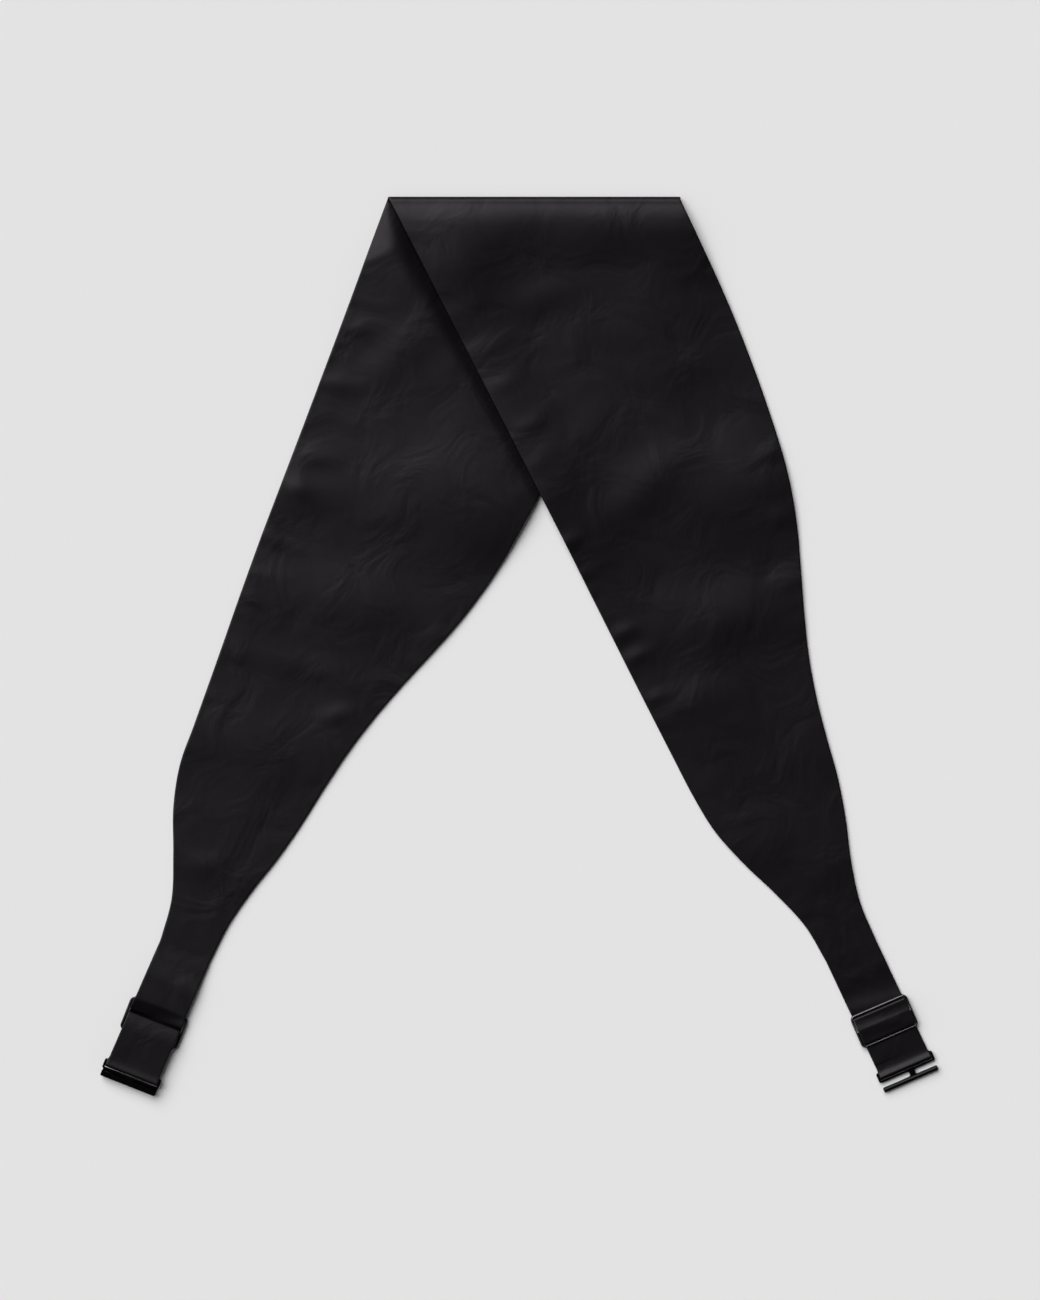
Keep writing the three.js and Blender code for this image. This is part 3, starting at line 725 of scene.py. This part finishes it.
def dive_share(shares):
    """How far the strap has dived below the turned-over slider's middle bar, as a share, from
    -1 at the first bar over 0 at the middle one to 1 at the last."""
    wave = (1 + np.cos(math.pi * shares)) / 2
    return np.where(shares < 0, 1 - np.abs(shares) ** DIVE_POWER, wave)


def back_points(settings, x):
    """The strap's back over a slider: up beside the first bar, taut to the middle bar, level
    past it and down beside the last one. x is the middle bar's place."""
    strap, metal = settings.strap, settings.metal
    half = metal.bar_spacing / 2
    tuck = loop_radius(settings, metal.wire)
    crest = tuck + layer_pitch(settings)
    bend = strap.bend
    rise = half - tuck - bend
    points = arc_points((x - half, 0), tuck, -90, 0, BEND_STEPS)
    points += arc_points((x - rise, crest - strap.sag - bend), bend, 180, 90, BEND_STEPS)
    points += late_points(points[-1], (x - metal.wire / 2, crest), TAUT_HASTE, TAUT_STEPS)
    points += eased_points(points[-1], (x + rise, crest - strap.sag / 2), LEVEL_STEPS)
    points += arc_points((x + rise, crest - strap.sag / 2 - bend), bend, 90, 0, BEND_STEPS)
    points += arc_points((x + half, 0), tuck, 180, 270, BEND_STEPS)
    return points


def arc_points(centre, radius, start, finish, steps):
    """Points on an arc, with its angles in degrees."""
    turns = np.radians(start + (finish - start) * np.arange(1, steps + 1) / steps)
    return list(zip(centre[0] + radius * np.cos(turns), centre[1] + radius * np.sin(turns)))


def strap_path(settings, one):
    """The strap's middle from its edge: under the slider's first bar, over the middle one, under
    the last, round the hook's bar and back below to the middle bar, which holds the sewn end."""
    strap, metal, band = settings.strap, settings.metal, settings.band
    tuck = loop_radius(settings, metal.wire)
    pitch = layer_pitch(settings)
    hump = tuck + pitch
    half = metal.bar_spacing / 2
    height = slider_height(settings)
    eye_radius = loop_radius(settings, metal.eye_bar)
    lean = math.radians(LOOP_LEAN)
    lift = leg(settings, one.name).lift
    neck = (band.thickness / 2 + lift - height) * one.facing
    slope = 2 * lift / band.neck_rise * one.facing
    start = (-strap.let_in, neck - slope * strap.let_in)
    first_bar = (one.reach - half, -tuck)
    middle = (one.reach, 0.0)
    eye = (one.reach + one.tail + metal.eye_seat, (one.eye_height - height) * one.facing)
    path = [start]
    if one.facing > 0:
        path += late_points(start, first_bar, CLIMB_HASTE, CLIMB_STEPS)
        path += back_points(settings, one.reach)
    else:
        path += climbing_points(start, first_bar, slope, CLIMB_STEPS)
        shares = np.linspace(-1, 1, DIVE_STEPS + 1)[1:]
        path += list(zip(middle[0] + shares * half, -tuck + (hump + tuck) * dive_share(shares)))
    over_eye, below_eye = (
        (eye[0] - eye_radius * math.sin(lean), eye[1] + way * eye_radius * math.cos(lean))
        for way in (1, -1)
    )
    path += late_points(path[-1], over_eye, HOOK_HASTE, HOOK_STEPS)
    path += arc_points(eye, eye_radius, 90 + LOOP_LEAN, -90 - LOOP_LEAN, LOOP_STEPS)
    under = (middle[0] + half, -tuck - pitch)
    path += late_points(under, below_eye, HOOK_HASTE, HOOK_STEPS)[-2::-1]
    path.append(under)
    path += late_points(under, (middle[0], -tuck), TAUT_HASTE, TAUT_STEPS)
    path += arc_points(middle, tuck, -90, -SEWN_TURN, SEWN_STEPS)
    return np.array([(x, height + one.facing * z) for x, z in path])


def strap_swell(name, x, y):
    """Height that the strap's own low creases add at places along and across it."""
    height = np.zeros(np.broadcast(x, y).shape)
    for strap_name, place, slant, breadth, share in STRAP_ROWS:
        if strap_name == name:
            height += share * MM * np.exp(-(((x - slant * y) / MM - place) ** 2) / breadth**2)
    return height


def pit_slope(settings, one, x, run, across):
    """How much higher the strap's edges stand in the pit of the turned-over slider, because
    they dive later than the strap's middle."""
    if one.facing > 0:
        return 0.0
    half = settings.metal.bar_spacing / 2
    depth = 2 * loop_radius(settings, settings.metal.wire) + layer_pitch(settings)
    share = np.clip((x - one.reach) / half, -1, 0)
    late = np.clip((1 + share) / (1 + EDGE_DIVE_END), 0, 1) ** EDGE_DIVE_POWER
    early = dive_share(share)
    edge = np.abs(2 * across / settings.strap.width - 1) ** EDGE_DIVE_SPREAD
    return (run < one.reach + half) * depth * edge * np.maximum(early - late, 0)


def strap_press(settings, one, x):
    """How much the slider and the hook hold the strap at a place along it: 1 inside them."""
    metal = settings.metal
    half = metal.bar_spacing / 2
    slider = smooth((half - np.abs(x - one.reach)) / metal.wire + 1)
    hook = smooth((x - one.reach - one.tail + metal.eye_back) / metal.wire + 1)
    return slider, hook


def build_strap(settings, name, material, shift):
    """One strap as a sheet that follows its path."""
    strap = settings.strap
    one = end(settings, name)
    side = leg(settings, name).side
    path = strap_path(settings, one)
    run = np.concatenate([[0], np.cumsum(np.linalg.norm(np.diff(path, axis=0), axis=1))])
    steps = np.array(EDGE_STEPS) * MM
    flat = np.linspace(steps[-1], strap.width - steps[-1], STRAP_FLAT_COLUMNS + 2)[1:-1]
    across = np.concatenate([steps, flat, strap.width - steps[::-1]])
    inset = np.minimum(across, strap.width - across)
    x = path[:, :1]
    slider, hook = strap_press(settings, one, x)
    spread = 1 + 2 * strap.spread / strap.width * np.maximum(slider, hook)
    straight = x + slider * (one.reach - x) + hook * (one.reach + one.tail - x)
    y = (across - strap.width / 2) * spread + math.tan(side * strap.skew) * straight
    top = run[:, None] < one.reach + one.tail
    z = path[:, 1:] + top * strap_swell(name, x, y)
    z = z + pit_slope(settings, one, x, run[:, None], across)
    points = np.stack(np.broadcast_arrays(x, y, z), axis=-1)
    places = np.stack(np.broadcast_arrays(across, run[:, None]), axis=-1)
    thin = strap.thickness / strap.let_in_thickness
    taper = thin + (1 - thin) * (1 - smooth((run - strap.let_in) / strap.let_in_taper))
    fullness = edge_fullness(inset, strap.thickness / 2) * taper[:, None]
    piece = cloth_object(
        f"satin_strap_{name}", points, places, fullness, strap.let_in_thickness, material
    )
    piece.data.transform(end_matrix(settings, name, shift))
    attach(piece, BODY)
    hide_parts(f"strap_{name}")
    return piece


def wire_ring(depth, width, corner, wire, sides=16, corner_steps=8):
    """A bmesh of a round wire bent into a closed rectangle with round corners."""
    shape = bmesh.new()
    start = Matrix.Translation((depth / 2, corner - width / 2, 0))
    upright = start @ Matrix.Rotation(math.pi / 2, 4, "X")
    ring = bmesh.ops.create_circle(shape, segments=sides, radius=wire / 2, matrix=upright)
    verts = ring["verts"]
    edges = list({edge for vert in verts for edge in vert.link_edges})
    runs = (width - 2 * corner, depth - 2 * corner) * 2
    for k, run in enumerate(runs):
        turn = Matrix.Rotation(k * math.pi / 2, 3, "Z")
        grown = bmesh.ops.extrude_edge_only(shape, edges=edges)["geom"]
        verts, edges = verts_and_edges(grown)
        edges = [edge for edge in edges if all(vert in verts for vert in edge.verts)]
        bmesh.ops.translate(shape, verts=verts, vec=turn @ Vector((0, run, 0)))
        middle = sum((vert.co for vert in verts), Vector()) / len(verts)
        centre = middle + turn @ Vector((-corner, 0, 0))
        spun = bmesh.ops.spin(
            shape,
            geom=verts + edges,
            cent=centre,
            axis=(0, 0, 1),
            angle=math.pi / 2,
            steps=corner_steps,
        )["geom_last"]
        verts, edges = verts_and_edges(spun)
    bmesh.ops.remove_doubles(shape, verts=shape.verts, dist=0.02 * MM)
    return shape


def verts_and_edges(geometry):
    """The vertices and the edges in what a bmesh operator gives back."""
    verts = [each for each in geometry if isinstance(each, bmesh.types.BMVert)]
    edges = [each for each in geometry if isinstance(each, bmesh.types.BMEdge)]
    return verts, edges


def round_bar(reach, diameter, x, sides=16):
    """A bmesh of a round bar along Y."""
    shape = bmesh.new()
    place = Matrix.Translation((x, 0, 0)) @ Matrix.Rotation(math.pi / 2, 4, "X")
    bmesh.ops.create_cone(
        shape,
        cap_ends=True,
        segments=sides,
        radius1=diameter / 2,
        radius2=diameter / 2,
        depth=reach,
        matrix=place,
    )
    return shape


def block(x, y, z):
    """A bmesh of a block between the given pairs of coordinates."""
    shape = bmesh.new()
    size = Matrix.Diagonal((x[1] - x[0], y[1] - y[0], z[1] - z[0], 1))
    middle = ((x[0] + x[1]) / 2, (y[0] + y[1]) / 2, (z[0] + z[1]) / 2)
    bmesh.ops.create_cube(shape, size=1, matrix=Matrix.Translation(middle) @ size)
    return shape


def round_edges(shape, edges, radius):
    """Rounds the given edges of a bmesh."""
    bmesh.ops.bevel(
        shape,
        geom=edges,
        offset=radius,
        offset_type="OFFSET",
        segments=6,
        profile=0.5,
        affect="EDGES",
        material=-1,
    )
    return shape


def round_corners(shape, radius, chosen):
    """Rounds the upright edges of a block for which chosen(x, y) is true."""
    upright = [
        edge
        for edge in shape.edges
        if abs(edge.verts[0].co.z - edge.verts[1].co.z) > SAME and chosen(*edge.verts[0].co.xy)
    ]
    return round_edges(shape, upright, radius)


def anywhere(x, y):
    """Chooses every upright edge."""
    return True


def combine(body, others, operation):
    """Joins other objects to a body, or takes them out of it, and bakes the result."""
    for other in others:
        step = body.modifiers.new(operation.lower(), "BOOLEAN")
        step.operation = operation
        step.solver = "EXACT"
        step.object = other
    bpy.context.view_layer.update()
    evaluated = body.evaluated_get(bpy.context.evaluated_depsgraph_get())
    mesh = bpy.data.meshes.new_from_object(evaluated)
    body.modifiers.clear()
    body.data = mesh
    for other in others:
        bpy.data.objects.remove(other)


def fuse(name, shapes, edge_round, material):
    """One body from several closed shapes, with its sharp edges rounded."""
    pieces = []
    for shape in shapes:
        bmesh.ops.recalc_face_normals(shape, faces=shape.faces)
        pieces.append(mesh_object(name, shape, material))
    body = pieces[0]
    combine(body, pieces[1:], "UNION")
    body.name = name
    body.data.shade_smooth()
    if edge_round:
        bevel = body.modifiers.new("edges", "BEVEL")
        bevel.width = edge_round
        bevel.segments = 2
        bevel.limit_method = "ANGLE"
        bevel.angle_limit = math.radians(40)
    normals = body.modifiers.new("even_shading", "WEIGHTED_NORMAL")
    normals.keep_sharp = True
    return body


def join_bodies(body, shapes, edge_round, material):
    """Fuses more shapes to a body that is there already."""
    base = bmesh.new()
    base.from_mesh(body.data)
    name = body.name
    bpy.data.objects.remove(body)
    return fuse(name, [base, *shapes], edge_round, material)


def cut(body, shape):
    """Takes a closed shape out of a body."""
    bmesh.ops.recalc_face_normals(shape, faces=shape.faces)
    combine(body, [mesh_object("cutter", shape)], "DIFFERENCE")


def place_metal(settings, piece, node, name, x, height, shift):
    """Puts a metal piece on its bar's place of one end and lets it stand for its node."""
    side = leg(settings, name).side
    sideways = x * math.tan(side * settings.strap.skew)
    piece.data.transform(end_matrix(settings, name, shift) @ Matrix.Translation((x, sideways, height)))
    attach(piece, BODY)
    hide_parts(node)


def eye_shapes(settings):
    """The walls at the ends of the bar that the strap goes round and the rail beyond it, as a
    block and the window to be cut in it, with the bar itself."""
    strap, metal = settings.strap, settings.metal
    inner = strap.width / 2 + strap.side_air
    outer = inner + metal.eye_wall
    back = -metal.eye_back
    edge = metal.eye_edge
    slot = edge - metal.eye_rail
    half = metal.eye_plate / 2
    plate = block((back, edge), (-outer, outer), (-half, half))
    round_corners(plate, metal.eye_corner, anywhere)
    window = block((back - MM, slot), (-inner, inner), (-metal.eye_plate, metal.eye_plate))
    bar = round_bar(2 * inner + metal.eye_wall, metal.eye_bar, metal.eye_seat)
    return plate, window, bar


def add_node(tree, kind, settings=None, inputs=None):
    """Adds a node with its settings, and with its inputs given as values or as sockets to link."""
    node = tree.nodes.new(kind)
    for key, value in (settings or {}).items():
        setattr(node, key, value)
    for key, value in (inputs or {}).items():
        if isinstance(value, bpy.types.NodeSocket):
            tree.links.new(value, node.inputs[key])
        else:
            node.inputs[key].default_value = value
    return node


def new_material(name):
    """An empty node material and its tree."""
    material = bpy.data.materials.new(name)
    material.use_nodes = True
    material.node_tree.nodes.clear()
    return material, material.node_tree


def noise(tree, place, size, dimensions="2D", **inputs):
    """Noise whose clouds are about the given size."""
    settings = {"noise_dimensions": dimensions}
    inputs = {"Vector": place, "Scale": 1 / size, **inputs}
    return add_node(tree, "ShaderNodeTexNoise", settings, inputs).outputs["Fac"]


def remap(tree, value, span, result):
    """A value carried from one span to another."""
    inputs = {
        "Value": value,
        "From Min": span[0],
        "From Max": span[1],
        "To Min": result[0],
        "To Max": result[1],
    }
    return add_node(tree, "ShaderNodeMapRange", None, inputs).outputs["Result"]


def relief(tree, height, strength, distance, **inputs):
    """The normal of a fine relief."""
    inputs = {"Height": height, "Strength": strength, "Distance": distance, **inputs}
    return add_node(tree, "ShaderNodeBump", None, inputs).outputs["Normal"]


def surface(material, tree, inputs):
    """Gives a material its one shader and returns it."""
    shader = add_node(tree, "ShaderNodeBsdfPrincipled", None, inputs)
    add_node(tree, "ShaderNodeOutputMaterial", None, {"Surface": shader.outputs["BSDF"]})
    return material


def black_silk_satin(settings):
    """Black silk satin, woven with long warp floats on its face. They give a soft, broad shine
    that follows every swell of the cloth and faint streaks along the threads."""
    return satin_material("black_silk_satin", settings.finish, 0.195)


def black_strap_satin(settings):
    """The same satin doubled and pressed hard for the straps, with the same shine as the band."""
    return satin_material("black_strap_satin", settings.finish, 0.195)


def black_satin_back(settings):
    """The back of the strap's satin, which lies up on the left and shines a little less."""
    return satin_material("black_satin_back", settings.finish, 0.175)


def satin_material(name, finish, shine):
    """Satin of a given shine, with its threads, its unevenness and its small crumples."""
    material, tree = new_material(name)
    place = add_node(tree, "ShaderNodeUVMap", {"uv_map": "cloth"}).outputs["UV"]
    # The real floats are about 0.15 mm apart. They are drawn 0.8 mm apart and 9 mm long,
    # as coarse as the camera needs to show them at all.
    scale = (1 / (0.8 * MM), 1 / (9 * MM), 1)
    floats = add_node(
        tree, "ShaderNodeMapping", {"vector_type": "POINT"}, {"Vector": place, "Scale": scale}
    ).outputs["Vector"]
    streaks = noise(tree, floats, 1.0, Detail=3.0, Roughness=0.6)
    # Unevenness of the press and the interlining, in clouds about 30 mm wide
    clouds = noise(tree, place, 30 * MM, Detail=4.0, Roughness=0.55)
    grain = add_node(
        tree, "ShaderNodeMath", {"operation": "MULTIPLY_ADD"}, {0: clouds, 1: 0.5, 2: streaks}
    ).outputs["Value"]
    tone = remap(tree, streaks, (0.3, 0.7), (0.8, 1.2))
    body = add_node(
        tree,
        "ShaderNodeVectorMath",
        {"operation": "SCALE"},
        {0: tuple(finish.satin), "Scale": tone},
    ).outputs["Vector"]
    # Small crumples from wear and packing, from 25 mm across down to 3 mm
    crumples = noise(tree, place, 25 * MM, Detail=3.0, Roughness=0.48, Distortion=0.6)
    crumpled = relief(tree, crumples, 1.0, 0.4 * MM)
    shaded = {
        "Base Color": body,
        "Roughness": remap(tree, grain, (0.4, 1.1), (0.42, 0.34)),
        "IOR": 1.54,
        "Specular IOR Level": shine,
        "Specular Tint": (1.0, 0.95, 1.0, 1.0),
        "Sheen Weight": 0.006,
        "Sheen Roughness": 0.4,
        "Sheen Tint": (*finish.satin_sheen, 1),
        "Normal": relief(tree, streaks, 0.35, 0.03 * MM, Normal=crumpled),
    }
    return surface(material, tree, shaded)


def black_stove_lacquer(settings):
    """Stove lacquer over the cast hooks and on the back of the left slider: deep black and half
    matt, with a slightly wavy skin that leaves one dim line along each round edge."""
    return lacquer_material("black_stove_lacquer", settings.finish, 0.15, 0.18)


def black_wire_enamel(settings):
    """Enamel on the front of the right slider: the same black, but glossy, so the outer bars
    carry a thin bright line."""
    return lacquer_material("black_wire_enamel", settings.finish, 1.0, 0.27)


def lacquer_material(name, finish, shine, roughness):
    """Black lacquer of a given shine and roughness on metal."""
    material, tree = new_material(name)
    place = add_node(tree, "ShaderNodeTexCoord").outputs["Object"]
    # The lacquer's skin is uneven over about 1.5 mm
    skin = noise(tree, place, 1.5 * MM, dimensions="3D", Detail=2.0)
    shaded = {
        "Base Color": (*finish.lacquer, 1),
        "Roughness": remap(tree, skin, (0.3, 0.7), (roughness * 0.85, roughness * 1.15)),
        "IOR": 1.5,
        "Specular IOR Level": shine,
        "Normal": relief(tree, skin, 0.3, 0.02 * MM),
    }
    return surface(material, tree, shaded)


def matt_laminate(settings):
    """Plain matt laminate, pale grey and without any shine of its own."""
    material, tree = new_material("matt_laminate")
    table = (*settings.finish.table, 1)
    shaded = {"Base Color": table, "Roughness": 0.9, "Specular IOR Level": 0.1}
    return surface(material, tree, shaded)


def material_of(settings, maker):
    """The material that a maker gives, made once."""
    return bpy.data.materials.get(maker.__name__) or maker(settings)


def shared_shift(settings):
    """The shift from the fold's own origin to the shared frame."""
    return band_shift(settings, band_points(settings)[0])


class CUMMERBUND_OT_band(bpy.types.Operator):
    """Build the sewn panel with its fold and both necks"""

    bl_idname = "cummerbund.band"
    bl_label = "Band"
    bl_options = {"REGISTER", "UNDO"}

    def execute(self, context):
        settings = context.scene.cummerbund
        band = settings.band
        points, cloth, inset = band_points(settings)
        points = points + band_shift(settings, points)
        fullness = edge_fullness(inset, band.edge_round)
        material = material_of(settings, black_silk_satin)
        piece = cloth_object("satin_band", points, cloth, fullness, band.thickness, material)
        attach(piece, BODY)
        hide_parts("band")
        return {"FINISHED"}


class CUMMERBUND_OT_straps(bpy.types.Operator):
    """Build both straps"""

    bl_idname = "cummerbund.straps"
    bl_label = "Straps"
    bl_options = {"REGISTER", "UNDO"}

    def execute(self, context):
        settings = context.scene.cummerbund
        shift = shared_shift(settings)
        for name, satin in (("left", black_satin_back), ("right", black_strap_satin)):
            build_strap(settings, name, material_of(settings, satin), shift)
        return {"FINISHED"}


class CUMMERBUND_OT_sliders(bpy.types.Operator):
    """Build both wire sliders"""

    bl_idname = "cummerbund.sliders"
    bl_label = "Sliders"
    bl_options = {"REGISTER", "UNDO"}

    def execute(self, context):
        settings = context.scene.cummerbund
        metal, strap = settings.metal, settings.strap
        shift = shared_shift(settings)
        width = strap.width + 2 * strap.side_air + metal.wire
        for name, skin in (("left", black_stove_lacquer), ("right", black_wire_enamel)):
            material = material_of(settings, skin)
            shapes = [
                wire_ring(metal.bar_spacing, width, metal.corner - metal.wire / 2, metal.wire),
                round_bar(width, metal.wire, 0.0),
            ]
            piece = fuse(f"wire_slider_{name}", shapes, 0.0, material)
            reach = end(settings, name).reach
            height = slider_height(settings)
            place_metal(settings, piece, f"slider_{name}", name, reach, height, shift)
        return {"FINISHED"}


class CUMMERBUND_OT_t_bar_hook(bpy.types.Operator):
    """Build the half of the fastening that carries the T-bar"""

    bl_idname = "cummerbund.t_bar_hook"
    bl_label = "T-Bar Hook"
    bl_options = {"REGISTER", "UNDO"}

    def execute(self, context):
        settings = context.scene.cummerbund
        metal = settings.metal
        plate, window, eye = eye_shapes(settings)
        edge = metal.eye_edge
        material = material_of(settings, black_stove_lacquer)
        radius = metal.t_bar / 2
        bar_x = edge + metal.t_bar_gap + radius
        half = metal.stem_width / 2
        thick = metal.eye_plate / 2
        reach = half + metal.slot_reach
        middle = metal.stem_offset
        web = block(
            (edge - metal.eye_rail / 2, bar_x),
            (middle - reach, middle + reach),
            (-thick, thick),
        )
        hook = fuse("t_bar_hook_body", [plate, web], 0.0, material)
        cut(hook, window)
        for way in (-1, 1):
            inner_end = middle + way * half
            near, far = sorted((inner_end, middle + way * (reach + radius)))
            slot = block((edge, edge + metal.t_bar_gap), (near, far), (-metal.t_bar, metal.t_bar))
            cut(hook, round_corners(slot, metal.slot_corner, lambda x, y: abs(y - inner_end) < SAME))
        bar = round_bar(metal.t_bar_length, metal.t_bar, bar_x, sides=24)
        rims = [each for each in bar.edges if len({len(face.verts) for face in each.link_faces}) > 1]
        round_edges(bar, rims, metal.t_bar_corner)
        finished = join_bodies(hook, [eye, bar], metal.edge_round, material)
        one = end(settings, "right")
        reach = one.reach + one.tail
        shift = shared_shift(settings)
        place_metal(settings, finished, "t_bar_hook", "right", reach, one.eye_height, shift)
        return {"FINISHED"}


class CUMMERBUND_OT_channel_hook(bpy.types.Operator):
    """Build the half of the fastening whose channel takes the T-bar"""

    bl_idname = "cummerbund.channel_hook"
    bl_label = "Channel Hook"
    bl_options = {"REGISTER", "UNDO"}

    def execute(self, context):
        settings = context.scene.cummerbund
        metal = settings.metal
        plate, window, eye = eye_shapes(settings)
        edge = metal.eye_edge
        material = material_of(settings, black_stove_lacquer)
        hook = fuse("channel_hook_body", [plate], 0.0, material)
        cut(hook, window)
        top = metal.eye_plate / 2
        bottom = top - channel_height(settings)
        near = edge + metal.channel_gap
        far = near + metal.channel_depth
        wall = metal.channel_wall
        half_length = metal.channel_length / 2
        half_notch = metal.channel_notch / 2
        half_stem = metal.channel_stem / 2
        whole, stem = (-half_length, half_length), (-half_stem, half_stem)
        roof, foot = (top - wall, top), (bottom, bottom + wall)
        shapes = [
            eye,
            block((near, far), whole, roof),
            block((edge - metal.eye_rail / 2, near + wall), stem, roof),
            block((near - metal.channel_lip, near + wall), whole, foot),
        ]
        for low, high in ((-half_length, -half_notch), (half_notch, half_length)):
            shapes.append(block((far - wall, far), (low, high), (bottom, top)))
            shapes.append(block((near, far), (low, high), foot))
        for shape in shapes[1:]:
            round_corners(
                shape,
                metal.channel_corner,
                lambda x, y: abs(x - far) + abs(abs(y) - half_length) < SAME,
            )
        finished = join_bodies(hook, shapes, metal.edge_round, material)
        one = end(settings, "left")
        reach = one.reach + one.tail
        shift = shared_shift(settings)
        place_metal(settings, finished, "channel_hook", "left", reach, one.eye_height, shift)
        return {"FINISHED"}


class CUMMERBUND_OT_stage(bpy.types.Operator):
    """Set up the table, the lights and the camera"""

    bl_idname = "cummerbund.stage"
    bl_label = "Stage"
    bl_options = {"REGISTER", "UNDO"}

    def execute(self, context):
        settings = context.scene.cummerbund
        studio = settings.studio
        scene = context.scene
        shape = bmesh.new()
        bmesh.ops.create_grid(shape, x_segments=1, y_segments=1, size=studio.table_size / 2)
        table = mesh_object("table", shape, matt_laminate(settings))
        for name, turn, height, strength, spread in LIGHT_ROWS:
            data = bpy.data.lights.new(name, "SUN")
            data.energy = strength
            data.angle = math.radians(spread)
            lamp = bpy.data.objects.new(name, data)
            lamp.rotation_euler = (math.radians(90 - height), 0, math.radians(-turn) + math.pi)
            scene.collection.objects.link(lamp)
        world = bpy.data.worlds.new("dim_studio")
        world.use_nodes = True
        world.node_tree.nodes["Background"].inputs["Color"].default_value = (1, 1, 1, 1)
        world.node_tree.nodes["Background"].inputs["Strength"].default_value = ROOM_LIGHT
        scene.world = world
        data = bpy.data.cameras.new("overhead")
        data.sensor_fit = "HORIZONTAL"
        data.lens = data.sensor_width * studio.view_height / studio.view_width
        camera = bpy.data.objects.new("overhead", data)
        camera.location = (studio.view_x, -studio.view_down, studio.view_height)
        scene.collection.objects.link(camera)
        scene.camera = camera
        scene.view_settings.view_transform = "Standard"
        return {"FINISHED"}


class VIEW3D_PT_cummerbund(bpy.types.Panel):
    """Settings and pieces of the cummerbund"""

    bl_idname = "VIEW3D_PT_cummerbund"
    bl_label = "Cummerbund"
    bl_space_type = "VIEW_3D"
    bl_region_type = "UI"
    bl_category = "Cummerbund"

    def draw(self, context):
        settings = context.scene.cummerbund
        for title in ("band", "strap", "metal", "finish", "studio"):
            group = getattr(settings, title)
            box = self.layout.box()
            box.label(text=title.capitalize())
            for key in group.__annotations__:
                box.prop(group, key)
        for operator in OPERATORS:
            self.layout.operator(operator.bl_idname)


OPERATORS = (
    CUMMERBUND_OT_stage,
    CUMMERBUND_OT_band,
    CUMMERBUND_OT_straps,
    CUMMERBUND_OT_sliders,
    CUMMERBUND_OT_t_bar_hook,
    CUMMERBUND_OT_channel_hook,
)
CLASSES = (
    CummerbundBand,
    CummerbundStrap,
    CummerbundHardware,
    CummerbundFinish,
    CummerbundStudio,
    CummerbundSettings,
    *OPERATORS,
    VIEW3D_PT_cummerbund,
)


def register():
    """Registers the classes and the settings."""
    for each in CLASSES:
        bpy.utils.register_class(each)
    bpy.types.Scene.cummerbund = PointerProperty(type=CummerbundSettings)


def unregister():
    """Takes the settings and the classes away again."""
    del bpy.types.Scene.cummerbund
    for each in reversed(CLASSES):
        bpy.utils.unregister_class(each)


def main():
    """Builds the whole scene."""
    register()
    bpy.ops.cummerbund.stage()
    bpy.ops.cummerbund.band()
    bpy.ops.cummerbund.straps()
    bpy.ops.cummerbund.sliders()
    bpy.ops.cummerbund.t_bar_hook()
    bpy.ops.cummerbund.channel_hook()


if __name__ == "__main__":
    main()
